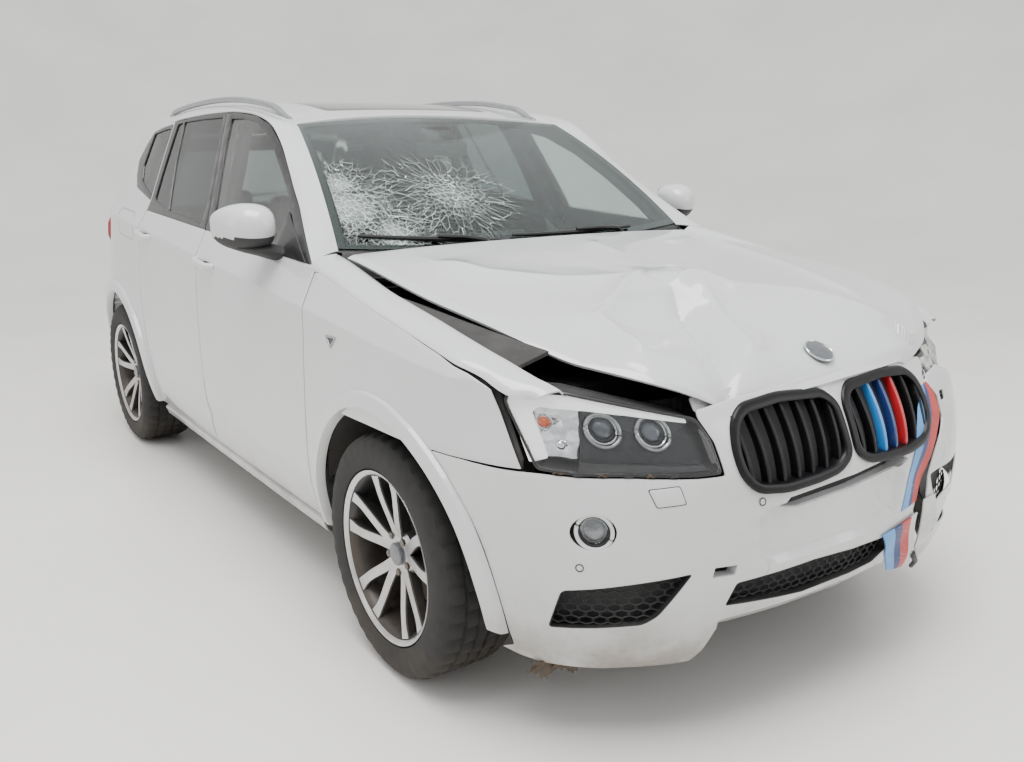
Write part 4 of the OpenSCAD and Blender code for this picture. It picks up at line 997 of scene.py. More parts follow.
for name, u0, u1, v0, v1 in (("screen_band_low", 0, 1, 0.0, 0.05), ("screen_band_top", 0, 1, 0.965, 1.0),
                             ("screen_band_right", 0.0, 0.018, 0, 1), ("screen_band_left", 0.982, 1.0, 0, 1)):
    dress(screen_strip(name, u0, u1, v0, v1, 24, 16), trim_black)
print("windscreen points:", len(pane.data.vertices))

# %% Crack web
UP = (Vector(screen(0, 1)) - Vector(screen(0, 0))).normalized()
web_tree, web_in, web_out = group("crack_web", [("Vector", "INPUT", "Vector", None), ("Centre", "INPUT", "Vector",
    (0, 0, 0)),
    ("Reach", "INPUT", "Float", 0.3), ("Mask", "OUTPUT", "Float", None), ("Crush", "OUTPUT", "Float", None)])
t = web_tree
wobble = node(t, "VectorMath", {0: node(t, "TexNoise", {"Vector": web_in.outputs["Vector"], "Scale": 6.0,
    "Detail": 3.0}).outputs["Color"],
                                1: (0.035, 0.035, 0.035)}, operation="MULTIPLY").outputs[0]
offset = node(t, "VectorMath", {0: node(t, "VectorMath", {0: web_in.outputs["Vector"], 1: web_in.outputs["Centre"]},
                                        operation="SUBTRACT").outputs[0], 1: wobble}, operation="ADD").outputs[0]
across_part = node(t, "VectorMath", {0: offset, 1: (1, 0, 0)}, operation="DOT_PRODUCT").outputs["Value"]
up_part = node(t, "VectorMath", {0: offset, 1: tuple(UP)}, operation="DOT_PRODUCT").outputs["Value"]
distance = maths(t, "SQRT", maths(t, "ADD", maths(t, "MULTIPLY", across_part, across_part), maths(t, "MULTIPLY",
    up_part, up_part)))
angle = maths(t, "ARCTAN2", up_part, across_part)
polar = node(t, "CombineXYZ", {"X": maths(t, "MULTIPLY", angle, 4.2),
    "Y": maths(t, "MULTIPLY", maths(t, "LOGARITHM", maths(t, "ADD", distance, 0.01), 2.718), 1.3)}).outputs[0]
edges = node(t, "TexVoronoi", {"Vector": polar, "Scale": 1.6, "Randomness": 0.75},
    feature="DISTANCE_TO_EDGE").outputs["Distance"]
cells = node(t, "TexVoronoi", {"Vector": web_in.outputs["Vector"], "Scale": 42.0},
    feature="DISTANCE_TO_EDGE").outputs["Distance"]
near = maths(t, "SUBTRACT", 1.0, maths(t, "DIVIDE", distance, web_in.outputs["Reach"]))
near_clamped = node(t, "Clamp", {0: near}).outputs[0]
thin = maths(t, "SUBTRACT", 1.0, ramp(t, edges, 0.001, 0.009))
fine = maths(t, "MULTIPLY", maths(t, "SUBTRACT", 1.0, ramp(t, cells, 0.0, 0.05)), ramp(t, near_clamped, 0.45, 0.85))
t.links.new(node(t, "Clamp", {0: maths(t, "MULTIPLY", maths(t, "ADD", thin, fine), ramp(t, near_clamped, 0.0,
    0.35))}).outputs[0], web_out.inputs["Mask"])
t.links.new(ramp(t, maths(t, "ADD", near_clamped, maths(t, "MULTIPLY", noise(t, web_in.outputs["Vector"], 18.0, 4.0),
    0.35)), 0.85, 1.25), web_out.inputs["Crush"])

crack_finish = finish("glass_cracks", (0.62, 0.72, 0.68), 0.5, tint=0.15, dirt=0.0)
t = crack_finish.node_tree
place = node(t, "TexCoord").outputs["Object"]
masks = []
for centre, reach in (((-0.612, -0.726, 1.286), 0.34), ((-0.600, -0.62, 1.345), 0.20), ((-0.200, -0.700, 1.312),
    0.30), ((-0.50, -0.855, 1.20), 0.22)):
    web = node(t, "Group", node_tree=web_tree)
    t.links.new(place, web.inputs["Vector"])
    web.inputs["Centre"].default_value, web.inputs["Reach"].default_value = centre, reach
    masks.append(maths(t, "MAXIMUM", web.outputs["Mask"], maths(t, "MULTIPLY", web.outputs["Crush"],
        0.34 if centre[0] < -0.4 else 0.10)))
alpha = masks[0]
for one in masks[1:]:
    alpha = maths(t, "MAXIMUM", alpha, one)
t.links.new(maths(t, "MULTIPLY", alpha, 0.8), t.nodes["Principled BSDF"].inputs["Alpha"])
dress(screen_strip("screen_cracks", 0.02, 0.80, 0.03, 0.93, 60, 40, -4.5), crack_finish)
print("crack webs:", len(masks))

# %% Cowl, wipers and sensor
def on_screen(u, v, out=0.0):
    return tuple(Vector(screen(u, v)) + Vector((0, -0.49, 0.87)) * out)

def cowl_form(u, v):
    s = 2 * u - 1
    low = Vector(screen(s * 0.99, 0)) + Vector((0, -4, 2))
    return low + Vector((0, -70 * v, -78 * smooth(v * 1.8) - 4))

dress(sheet("cowl_panel", cowl_form, 40, 10, 4, 0), plastic_black, replaces=["cowl_and_wipers"])
wiper_steel = finish("wiper_black", (0.01, 0.01, 0.011), 0.35, tint=0.2, dirt=0.2, grain=0.3, mud=DUST)
for label, u0, u1, v0, v1, pivot in (("right", -0.90, -0.18, 0.075, 0.035, -0.30), ("left", -0.14, 0.62, 0.060, 0.04,
    0.52)):
    blade = [on_screen(lerp(u0, u1, k / 16), lerp(v0, v1, k / 16), 9) for k in range(17)]
    dress(tube("wiper_blade_" + label, blade, lambda k: 5.5 + 4 * (1 - abs(2 * k - 1)), 8), wiper_steel)
    middle = on_screen(lerp(u0, u1, 0.5), lerp(v0, v1, 0.5), 20)
    foot = tuple(Vector(screen(pivot, 0)) + Vector((0, -8, 12)))
    arm = [foot, tuple(Vector(foot) + Vector((-20 if pivot < 0 else -25, 2, 22))), tuple(lerp(a, b, 0.5) + c for a,
        b, c in zip(foot, middle, (0, 0, 14))), middle]
    dress(tube("wiper_arm_" + label, polyline(arm, 14), lambda k: 11 - 5 * k, 8), wiper_steel)
pod = box("sensor_pod", (-70, -46, -14), (70, 46, 16), 13)
for v in pod.data.vertices:
    local = v.co.copy()
    v.co = Vector(screen(0.0, 0.86)) * MM + Vector((local.x * (1 - 2.2 * max(0, -local.y)), 0,
        0)) + UP * local.y + Vector((0, 0.49, -0.87)) * (local.z + 0.02)
outward(pod)
dress(pod, cabin_plastic)
print("wipers:", [o.name for o in bpy.data.objects if "wiper" in o.name])

# %% [markdown]
# ## Buckled bonnet
# The bonnet's edges were pushed back and up by the crash. Its height is the height of its two edges, a crown between
# them and a list of folds: each fold follows a line, with a sharp crest or valley that dies away to both sides.

# %% Bonnet
EDGE_RIGHT = ((-2200, 863), (-2180, 890), (-2150, 918), (-2100, 940), (-2050, 952), (-2000, 960), (-1950, 967),
    (-1900, 979), (-1800, 1007),
              (-1700, 1030), (-1600, 1048), (-1450, 1068), (-1300, 1091), (-1150, 1114), (-1012, 1133), (-920, 1142))
EDGE_LEFT = ((-2200, 884), (-2150, 912), (-2100, 938), (-2000, 982), (-1900, 1012), (-1800, 1034), (-1600, 1062),
    (-1400, 1085), (-1200, 1106),
             (-1012, 1124), (-920, 1136))
BONNET_HALF = ((-2240, 250), (-2200, 340), (-2180, 425), (-2150, 492), (-2100, 552), (-2050, 588), (-2000, 615),
    (-1950, 637), (-1900, 656),
               (-1800, 690), (-1700, 712), (-1600, 728), (-1450, 738), (-1300, 742), (-1012, 742))
LEFT_HALF = ((-2240, 250), (-2200, 352), (-2180, 440), (-2150, 516), (-2100, 590), (-2050, 648), (-2000, 694),
    (-1950, 722), (-1900, 738),
             (-1800, 754), (-1700, 761), (-1600, 761), (-1450, 758), (-1300, 752), (-1012, 742))
# Each fold: its line, height, and how far it reaches ahead of the line and behind it
FOLDS = [(((-560, -1180), (-500, -1380), (-360, -1560), (-196, -1670)), 20, 70, 130),
    (((-196, -1670), (-148, -1766)), 16, 50, 110),
         (((-148, -1766), (-28, -1758), (32, -1854), (200, -1950), (356, -2110)), 42, 75, 190),
         (((-148, -1780), (-220, -1982), (-352, -2195)), -40, 55, 60), (((-196, -1670), (-330, -1760), (-460, -1838),
             (-484, -2022)), 32, 80, 70),
         (((-28, -1758), (-90, -1900), (-172, -2100)), 22, 60, 45),
         (((572, -1150), (560, -1400), (500, -1650), (430, -1900)), 11, 45, 110),
             (((-60, -1500), (60, -1330), (90, -1150)), 5, 90, 90)]

def line_distance(x, y, line):
    """Distance to a line of points, signed by side, and the share of the way along it."""
    best = (1e9, 0, 0)
    for k, (a, b) in enumerate(zip(line, line[1:])):
        dx, dy = b[0] - a[0], b[1] - a[1]
        s = clamp(((x - a[0]) * dx + (y - a[1]) * dy) / (dx * dx + dy * dy))
        px, py = x - a[0] - s * dx, y - a[1] - s * dy
        d = math.hypot(px, py)
        if d < best[0]:
            best = (d, dx * py - dy * px, (k + s) / (len(line) - 1))
    return best

def folds(x, y):
    height = 0.0
    for line, rise, ahead, behind in FOLDS:
        d, side, along = line_distance(x, y, line)
        reach = ahead if side < 0 else behind
        height += rise * math.exp(-math.sqrt(d * d + 9) / reach * 1.4) * smooth((along + 0.12) / 0.3) * smooth((1.25 - along) / 0.3)
    dents = 16 * math.exp(-(math.hypot(x + 40, y + 1990) / 130) ** 2) + 14 * math.exp(-(math.hypot(x + 330,
        y + 1900) / 120) ** 2)
    return (1.25 * height - dents) * smooth((-1015 - y) / 150)

def bonnet_form(u, v):
    s = 2 * u - 1
    y = lerp(-2225 + 25 * s * s, -1010 + 58 * s * s, v)
    half = curve(BONNET_HALF if s < 0 else LEFT_HALF, y)
    x = s * half
    z = lerp(curve(EDGE_RIGHT, y), curve(EDGE_LEFT, y),
        (s + 1) / 2) + 27 * (1 - abs(s) ** 2.3) * (0.6 + 0.4 * smooth((y + 2240) / 300))
    nose = 16 * (1 - smooth(v / 0.02)) + 7 * (1 - smooth(min(u, 1 - u) / 0.012))
    return Vector((x, y, z + folds(x, y) * smooth(min(u, 1 - u) / 0.05) - nose))

bonnet_skin = sheet("bonnet_skin", bonnet_form, 150, 150, 9, 0, 30)
dress(bonnet_skin, paint, "bonnet", "white_paint", ["bonnet"])

def bonnet_normal(x, y):
    def at(px, py):
        half = curve(BONNET_HALF, py)
        s = px / half
        return Vector((px, py, lerp(curve(EDGE_RIGHT, py), curve(EDGE_LEFT, py),
            (s + 1) / 2) + 27 * (1 - abs(s) ** 2.3) * (0.6 + 0.4 * smooth((py + 2240) / 300)) + folds(px, py)))
    p = at(x, y)
    return p, (at(x + 5, y) - p).cross(at(x, y + 5) - p).normalized()

badge_place, badge_out = bonnet_normal(30, -2150)
clear_selection()
bpy.ops.mesh.primitive_cylinder_add(vertices=48, radius=0.041, depth=0.010)
badge = bpy.context.object
badge.name = badge.data.name = "blank_badge"
bevel(badge, 0.0028, 3, 40)
turn = Vector((0, 0, 1)).rotation_difference(badge_out).to_matrix()
for v in badge.data.vertices:
    v.co = turn @ v.co + badge_place * MM + badge_out * 0.003
badge_finish = finish("badge_grey", (0.10, 0.11, 0.12), 0.3, metal=0.3, coat=0.5, tint=0.2, tint_scale=40, dirt=0.1)
dress(shade(badge, 30), badge_finish, "bonnet", "black_plastic")
ring_points = [tuple(badge_place + turn @ Vector((40 * math.cos(a), 40 * math.sin(a), 7))) for a in circle(40)]
dress(tube("badge_ring", ring_points, 2.6, 8, True), chrome, "bonnet", "satin_aluminium")
print("bonnet:", len(bonnet_skin.data.vertices), "points; folds:", len(FOLDS))

# %% [markdown]
# ## Front bumper
# Each outline of the front is given as the eye sees it from ahead, in x and z, and becomes a length round the nose.
# The bumper has real openings, a sunk field for the number plate and a torn left end.

# %% Front helpers
def front_s(points):
    """An outline in x and z to lengths round the nose."""
    return [(around(False, x, z), z) for x, z in points]

def mirror_x(points):
    return [(-x, z) for x, z in points]

def s_of_y(y, z):
    """Length round the nose where the surface reaches that y."""
    low, high = 300.0, 1500.0
    for _ in range(40):
        middle = (low + high) / 2
        if on_end(False, middle, z, 0)[1] < y:
            low = middle
        else:
            high = middle
    return low

def inside_by(points, x, z):
    """Distance to the outline, positive inside it."""
    best, inside = 1e9, False
    for (x0, z0), (x1, z1) in zip(points, points[1:] + points[:1]):
        dx, dz = x1 - x0, z1 - z0
        s = clamp(((x - x0) * dx + (z - z0) * dz) / (dx * dx + dz * dz))
        best = min(best, math.hypot(x - x0 - s * dx, z - z0 - s * dz))
        if (z0 > z) != (z1 > z) and x < x0 + (z - z0) / (z1 - z0) * dx:
            inside = not inside
    return best if inside else -best

def on_front(s, z, depth):
    return on_end(False, s, z, depth)

def front_frame(x, z, depth=0.0):
    """A place on the front, and its outward, sideways and upward directions."""
    s = around(False, x, z)
    p = Vector(on_front(s, z, depth))
    a, b = Vector(on_front(s + 4, z, depth)) - p, Vector(on_front(s, z + 4, depth)) - p
    out = a.cross(b).normalized()
    if out.y > 0:
        out = -out
    return p, out, a.normalized(), b.normalized()

def front_ring(name, x, z, radius, width, depth, sides=8):
    p, out, a, b = front_frame(x, z, depth)
    points = [tuple(p + a * radius * math.cos(k * math.pi / 24) + b * radius * math.sin(k * math.pi / 24)) for k in range(48)]
    return tube(name, points, width, sides, True)

def front_dome(name, x, z, radius, depth, flat=0.45):
    """A dome that faces along the front's outward direction."""
    p, out, a, b = front_frame(x, z, depth)
    clear_selection()
    bpy.ops.mesh.primitive_uv_sphere_add(segments=32, ring_count=16, radius=1)
    piece = bpy.context.object
    piece.name = piece.data.name = name
    for v in piece.data.vertices:
        q = v.co.copy()
        v.co = (p + (a * q.x + b * q.y) * radius + out * q.z * radius * flat) * MM
    return shade(outward(piece), 60)

print("front helpers ready")

# %% Outlines of the front
KIDNEY = [(12, 700), (60, 668), (133, 659), (251, 655), (343, 668), (380, 710), (387, 767), (370, 826), (328, 858),
    (208, 868), (52, 858), (14, 825)]
HEADLIGHT = [(432, 721), (495, 722), (644, 735), (742, 739), (812, 750), (828, 828), (840, 900), (832, 918), (797,
    927), (724, 919), (618, 890),
             (520, 864), (462, 848), (440, 800)]
SIDE_GRILLE = [(-788, 351), (-618, 365), (-590, 388), (-521, 495), (-780, 460)]
LOWER_GRILLE = [(-430, 392), (-176, 366), (105, 372), (170, 400), (160, 436), (-150, 452), (-403, 449)]
PLATE = [(-340, 595), (-300, 617), (-200, 624), (190, 630), (225, 600), (190, 490), (-160, 480), (-302, 486), (-340,
    511)]
SLOT = [(-270, 612), (-240, 634), (0, 646), (216, 658), (246, 634), (204, 618), (0, 606), (-204, 598)]
TOW_HOLE = [(-473, 474), (-410, 470), (-404, 497), (-467, 501)]
TAPE_LEFT = [(392, 800), (335, 750), (309, 708), (287, 647), (240, 561), (214, 492)]
TAPE_RIGHT = [(428, 806), (460, 780), (465, 717), (404, 648), (340, 561), (304, 500)]

def arch_edge(low, high, n):
    """Where the bumper meets the wheel arch trim, from one height to the other."""
    made = []
    for k in range(n + 1):
        z = lerp(low, high, k / n)
        y = FRONT_AXLE - math.sqrt((TRIM + 1) ** 2 - (z - HUB_HEIGHT) ** 2)
        made.append((s_of_y(y, z), z))
    return made

def recessed(s, z, depth):
    """The bumper's surface with the plate field, the ledge over the lower grille and small dents."""
    x = math.copysign(min(abs(s), 900), s)
    inside = inside_by(PLATE, s * 0.985, z)
    sink = 16 * smooth((inside + 4) / 12)
    ledge = 16 * math.exp(-((z - 560 - 0.05 * abs(x)) / 40) ** 2) * smooth((abs(x) - 380) / 80) * smooth((720 - abs(x)) / 120) * 0.35
    chin = 26 * smooth((352 - z) / 26) * smooth((460 - abs(x)) / 16)
    dent = 9 * math.exp(-((x + 420) / 60) ** 2 - ((z - 640) / 45) ** 2) + 12 * math.exp(-((x - 320) / 60) ** 2 - ((z - 560) / 70) ** 2)
    return on_front(s, z, depth + sink + ledge + chin + dent)

right_arch = [(-s, z) for s, z in arch_edge(262, 742, 20)]
bumper_outline = (right_arch + front_s([(-806, 741), (-742, 734), (-644, 730), (-495, 717), (-424, 714), (-432, 790),
    (-456, 846), (-452, 862), (-330, 876),
                                        (-180, 884), (0, 893), (150, 896), (330, 886), (446, 868), (444, 846), (424,
                                            820)])
                  + front_s(TAPE_RIGHT) + front_s([(287, 476), (310, 440), (262, 352), (180, 322), (82, 320), (-199,
                      322), (-438, 326),
                                                   (-447, 253), (-466, 222), (-660, 218), (-763, 222), (-815, 240)]))
holes = [rounded(front_s(SIDE_GRILLE), 14), rounded(front_s(LOWER_GRILLE), 10), front_s(SLOT),
    rounded(front_s(TOW_HOLE), 5),
         front_s([(-726 + 43 * math.cos(k * math.pi / 12),
             608 + 43 * math.sin(k * math.pi / 12)) for k in range(24)])]
holes += [rounded(front_s(outline), 24) for outline in (KIDNEY, mirror_x(KIDNEY))]
bumper = panel("front_bumper_skin", rounded(bumper_outline, 6, 3), recessed, 0, 5, holes, step=17, rim=2.2)
dress(bumper, bumper_paint, replaces=["front_bumper"])
print("bumper points:", len(bumper.data.vertices))

# %% Depth of the openings
def collar(name, outline, depth, material, form=on_front, wide=5.0, front=1.0, slot="black_plastic"):
    """The wall of an opening, from the skin inward."""
    ring_piece = panel(name, grown(outline, wide / 2), form, front, depth, [grown(outline, -wide / 2)], step=60,
        rim=0)
    return dress(ring_piece, material, "body", slot)

def backing(name, outline, depth, material=plastic_black, grow=6.0):
    piece = panel(name, grown(outline, grow), on_front, depth, 4, (), step=50, rim=0)
    return dress(piece, material, "body", "black_plastic")

collar("side_grille_wall", rounded(front_s(SIDE_GRILLE), 14), 40, plastic_black)
collar("lower_grille_wall", rounded(front_s(LOWER_GRILLE), 10), 40, plastic_black)
collar("slot_wall", front_s(SLOT), 40, bumper_paint, recessed, 4, 4, "white_plastic")
collar("tow_wall", rounded(front_s(TOW_HOLE), 5), 30, bumper_paint, recessed, 3, 2, "white_plastic")
for name, outline in (("side_grille_back", front_s(SIDE_GRILLE)), ("lower_grille_back", front_s(LOWER_GRILLE)),
    ("slot_back", front_s(SLOT)),
                      ("tow_back", front_s(TOW_HOLE)), ("kidney_back_left", front_s(KIDNEY)), ("kidney_back_right",
                          front_s(mirror_x(KIDNEY)))):
    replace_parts(backing(name, outline, 44), "grilles")

def lattice(name, outline, cell, depth, wall=4.0):
    """A honeycomb net inside an outline, pressed onto the front."""
    clear_selection()
    bpy.ops.mesh.primitive_plane_add(size=1)
    piece = bpy.context.object
    piece.name = piece.data.name = name
    mesh = bmesh.new()
    ss, zs = [p[0] for p in outline], [p[1] for p in outline]
    corner = {}
    rows = int((max(zs) - min(zs)) / (cell * 0.75)) + 2
    for row in range(rows):
        for column in range(int((max(ss) - min(ss)) / (cell * 1.5)) + 2):
            s0 = min(ss) + (column + 0.5 * (row % 2)) * cell * 1.5
            z0 = min(zs) + row * cell * 0.75
            if inside_by(outline, s0, z0) < -cell * 0.4:
                continue
            loop = []
            for k in range(6):
                s = s0 + cell * 0.78 * math.cos(math.pi / 6 + k * math.pi / 3) * 0.98
                z = z0 + cell * 0.5 * math.sin(math.pi / 6 + k * math.pi / 3)
                key = (round(s / 3), round(z / 3))
                if key not in corner:
                    corner[key] = mesh.verts.new((0, s, z))
                if corner[key] not in loop:
                    loop.append(corner[key])
            if len(loop) > 2:
                try:
                    mesh.faces.new(loop)
                except ValueError:
                    pass
    mesh.to_mesh(piece.data)
    mesh.free()
    apply_modifier(piece, "WIREFRAME", thickness=wall, use_even_offset=False, use_boundary=True)
    for v in piece.data.vertices:
        v.co = Vector(on_front(v.co.y, v.co.z, depth - v.co.x)) * MM
    outward(piece)
    return dress(shade(piece, 40), plastic_black)

lattice("side_grille_net", grown(front_s(SIDE_GRILLE), -4), 24, 16)
lattice("lower_grille_net", grown(front_s(LOWER_GRILLE), -4), 22, 20)
print("grille pieces:", len([o for o in bpy.data.objects if "grille" in o.name]))

# %% Kidney frames and their slats
kidney_black = finish("kidney_black", (0.004, 0.004, 0.005), 0.34, tint=0.2, dirt=0.05, scratches=0.15, mud=DUST,
    Specular_IOR_Level=0.25)
slat_blue = finish("slat_blue", (0.03, 0.22, 0.60), 0.3, coat=0.4, tint=0.1, dirt=0.15, scratches=0.4, mud=DUST)
slat_navy = finish("slat_navy", (0.012, 0.03, 0.13), 0.3, coat=0.4, tint=0.1, dirt=0.15, scratches=0.4, mud=DUST)
slat_red = finish("slat_red", (0.42, 0.012, 0.018), 0.3, coat=0.4, tint=0.1, dirt=0.15, scratches=0.4, mud=DUST)
slat_colours = [kidney_black, kidney_black, slat_blue, slat_navy, slat_red, kidney_black, kidney_black]

def kidney_bulge(s, z, depth):
    """The frame stands 3 mm forward of the front."""
    return on_front(s, z, depth - 3)

for side, sign in (("right", -1), ("left", 1)):
    outline = front_s([(sign * x, z) for x, z in KIDNEY])
    frame_ring = panel("kidney_frame_" + side, rounded(grown(outline, 7), 26), kidney_bulge, -7, 34,
        [rounded(grown(outline, -17), 22)], step=30, rim=6)
    dress(frame_ring, kidney_black)
    for k in range(7):
        x = lerp(44, 356, k / 6)
        lean_in = 8 * (k - 3) / 3
        strip = [(sign * (x - 6 - lean_in), 672), (sign * (x + 6 - lean_in), 672), (sign * (x + 6 + lean_in), 852),
            (sign * (x - 6 + lean_in), 852)]
        form = lambda s, z, depth: on_front(s, z, depth - 9 * math.cos((z - 762) / 110 * math.pi / 2))
        slat = panel(f"kidney_slat_{side}_{k}", front_s(strip), form, 4, 26, (), step=14, rim=2.5)
        dress(slat, slat_colours[k] if side == "left" else kidney_black, "body", "black_plastic")
print("slats:", len([o for o in bpy.data.objects if "slat" in o.name]))

# %% Fog lamp, sensor, washer cover
lamp_chrome = finish("lamp_chrome", (0.80, 0.81, 0.83), 0.12, metal=1.0, tint=0.15, tint_scale=60, dirt=0.05)
fog_grey = finish("fog_reflector", (0.22, 0.23, 0.24), 0.22, metal=0.8, tint=0.3, tint_scale=60, dirt=0.1)
lamp_lens = finish("lamp_lens", (0.95, 0.97, 0.98), 0.03, tint=0.01, dirt=0.0, Transmission_Weight=1.0, IOR=1.4)
for side, sign in (("right", -1), ("left", 1)):
    x, z = sign * 726, 608
    dress(front_ring("fog_recess_" + side, x, z, 42, 5, 7), bumper_paint)
    dress(front_ring("fog_ring_" + side, x, z, 36, 4, 14), plastic_black)
    dress(front_dome("fog_reflector_" + side, x, z, 36, 34, -0.5), fog_grey)
    dress(front_dome("fog_bulb_" + side, x, z, 10, 26, 1.0), chrome, "body", "lamp_lens")
    dress(front_dome("fog_lens_" + side, x, z, 35, 15, 0.25), lamp_lens)
    dress(front_dome("fog_back_" + side, x, z, 44, 46, 0.3), plastic_black)
cover = panel("washer_cover", rounded(front_s([(-612, 703), (-599, 663), (-535, 666), (-544, 706)]), 6), on_front,
    -1.6, 3, (), step=20, rim=1.2)
dress(cover, bumper_paint)
seam = panel("washer_seam", rounded(grown(front_s([(-612, 703), (-599, 663), (-535, 666), (-544, 706)]), 2), 7),
    on_front, -0.4, 2, (), step=20, rim=0)
dress(seam, trim_black)
for x, z in ((-752, 522), (-330, 640)):
    dress(front_ring(f"sensor_ring_{-x}", x, z, 9, 1.2, -0.5), trim_black)
    dress(front_dome(f"sensor_{-x}", x, z, 7.5, 0, 0.2), bumper_paint)
print("small front pieces done")

# %% [markdown]
# ## Headlights
# Under each clear lens there is a dark housing, a bright band along the outer side and the top, a bright reflector
# with an orange lamp, and two projectors in rings. The left lamp was broken: its lens is clouded and crumpled.

# %% Headlights
housing_grey = finish("lamp_housing", (0.030, 0.031, 0.034), 0.28, metal=0.2, tint=0.1, tint_scale=8, dirt=0.0,
    Specular_IOR_Level=0.3)
band_white = finish("light_band", (0.88, 0.88, 0.86), 0.25, tint=0.05, tint_scale=40, dirt=0.1,
    Emission_Strength=0.7, Emission_Color=(1, 1, 0.98, 1))
orange_lamp = finish("orange_lamp", (0.75, 0.12, 0.02), 0.3, tint=0.1, dirt=0.0)
clouded = finish("clouded_lens", (0.55, 0.56, 0.52), 0.5, tint=0.5, tint_scale=22, dirt=0.5, scratches=1.0)
projector_glass = finish("projector_glass", (0.05, 0.06, 0.08), 0.04, coat=1.0, tint=0.2, dirt=0.0)
BAND = [(836, 893), (829, 915), (800, 922), (724, 912), (618, 884), (487, 851), (484, 836), (620, 862), (700, 876),
    (786, 886), (800, 874), (790, 775), (822, 764)]
REFLECTOR = [(800, 886), (741, 888), (700, 879), (722, 831), (729, 764), (797, 770)]
lamp_pieces = []

def lamp_piece(piece, material, slot="lamp_lens"):
    lamp_pieces.append((piece, material, slot))
    return piece

def right(points):
    return front_s([(-x, z) for x, z in points])


def lamp_outline(d, radius=12):
    return rounded(grown(right(HEADLIGHT), d), radius)

lamp_piece(panel("headlight_seal", lamp_outline(0), on_front, -1, 10, [lamp_outline(-8)], step=40, rim=1.5),
    trim_black, "black_plastic")
lamp_piece(panel("headlight_wall", lamp_outline(-3), on_front, 6, 92, [lamp_outline(-7)], step=60, rim=0),
    plastic_black, "black_plastic")
lamp_piece(panel("headlight_housing", lamp_outline(-2), on_front, 78, 4, (), step=30, rim=0), housing_grey,
    "black_plastic")
lamp_piece(panel("headlight_lens", lamp_outline(-6), on_front, -3, 3, (), step=40, rim=1), lamp_lens)
lamp_piece(panel("headlight_band", rounded(right(BAND), 5), on_front, 7, 18, (), step=30, rim=2), band_white)
lamp_piece(panel("headlight_reflector", rounded(right(REFLECTOR), 8), lambda s, z, d: on_front(s, z,
    d + 9 * abs(math.sin(s / 21)) + 6 * abs(math.sin(z / 17))), 32, 6, (), step=8, rim=0), lamp_chrome)
mask_outline = [(712, 872), (640, 862), (480, 836), (446, 800), (436, 730), (500, 728), (640, 742), (740, 748), (726,
    800)]
cut_rings = [right([(x + 41 * math.cos(k * math.pi / 12),
    z + 41 * math.sin(k * math.pi / 12)) for k in range(24)]) for x, z in ((674, 827), (567, 815))]
lamp_piece(panel("headlight_mask", rounded(right(mask_outline), 10), on_front, 34, 5, cut_rings, step=24, rim=1.5),
    housing_grey, "black_plastic")
lamp_piece(panel("headlight_sill", rounded(right([(735, 764), (640, 757), (470, 742), (455, 731), (640, 741), (744,
    747)]), 4), on_front, 12, 26, (), step=30, rim=1.5), trim_black, "black_plastic")
for k, (x, z) in enumerate(((-674, 827), (-567, 815))):
    lamp_piece(front_ring(f"projector_rim_{k}", x, z, 40, 4.5, 30), aluminium)
    lamp_piece(front_ring(f"projector_step_{k}", x, z, 34, 3.0, 38), chrome)
    lamp_piece(front_ring(f"projector_inner_{k}", x, z, 28, 3.0, 44), housing_grey)
    lamp_piece(front_dome(f"projector_back_{k}", x, z, 41, 66, 0.3), housing_grey, "black_plastic")
    lamp_piece(front_dome(f"projector_lens_{k}", x, z, 26, 48, 0.6), projector_glass)
lamp_piece(front_dome("turn_bulb", -784, 850, 13, 26, 1.0), orange_lamp)
lamp_piece(front_ring("turn_ring", -784, 850, 17, 2.5, 26), chrome)
lamp_piece(front_dome("side_bulb", -765, 800, 12, 26, 1.0), chrome)

def crumple(p):
    """Broken left lamp: pushed back and bent."""
    rng = [math.sin(p.x * 61 + p.z * 37), math.sin(p.z * 83 - p.x * 29), math.sin(p.x * 47 + p.y * 59)]
    return Vector((p.x - 0.010 + 0.006 * rng[0], p.y + 0.022 + 0.012 * rng[1] * rng[0], p.z - 0.004 + 0.004 * rng[2]))

for piece, material, slot in lamp_pieces:
    stem = piece.name
    piece.name = piece.data.name = stem + "_right"
    twin = mirrored(piece, stem + "_left")
    dress(piece, material, "body", slot, ["headlight_right"])
    for v in twin.data.vertices:
        v.co = crumple(v.co)
    dress(twin, {"headlight_lens": clouded, "headlight_housing": clouded}.get(stem, material), "body", slot,
        ["headlight_left"])
    if stem == "headlight_lens":
        t = clouded.node_tree
        rough_mask = noise(t, node(t, "TexCoord").outputs["Object"], 14.0, 5.0)
        t.links.new(ramp(t, rough_mask, 0.40, 0.52), t.nodes["Principled BSDF"].inputs["Alpha"])
print("lamp pieces each side:", len(lamp_pieces))

# %% Slam panel, engine bay as a box of painted shade, and torn corner
slam = panel("slam_panel", rounded(front_s([(-448, 852), (-330, 868), (-150, 880), (150, 892), (440, 880), (450,
    902), (300, 918), (100, 922), (-100, 912), (-330, 890), (-448, 884)]), 8),
             lambda s, z, d: on_front(s, z, d + 14 + 5 * math.sin(s / 30.0)), 10, 5,
             [rounded(front_s([(x - 14, z - 7), (x + 14, z - 5), (x + 14, z + 7), (x - 14, z + 7)]), 5) for x,
                 z in ((-252, 884), (-105, 892), (60, 900), (230, 902), (-380, 872))], step=18, rim=1.5)
dress(slam, bumper_paint, replaces=["front_carrier"])
# A near-black box in place of the engine: painted shade for the bay seen through the gaps round the bonnet.
shade_bay = box("dark_bay", (-640, -1960, 716), (640, -1120, 905), 20)
bay_black = finish("bay_black", (0.008, 0.008, 0.008), 0.9, tint=0.3, tint_scale=20, dirt=0.0, Specular_IOR_Level=0.1)
dress(shade_bay, bay_black, replaces=["engine"])
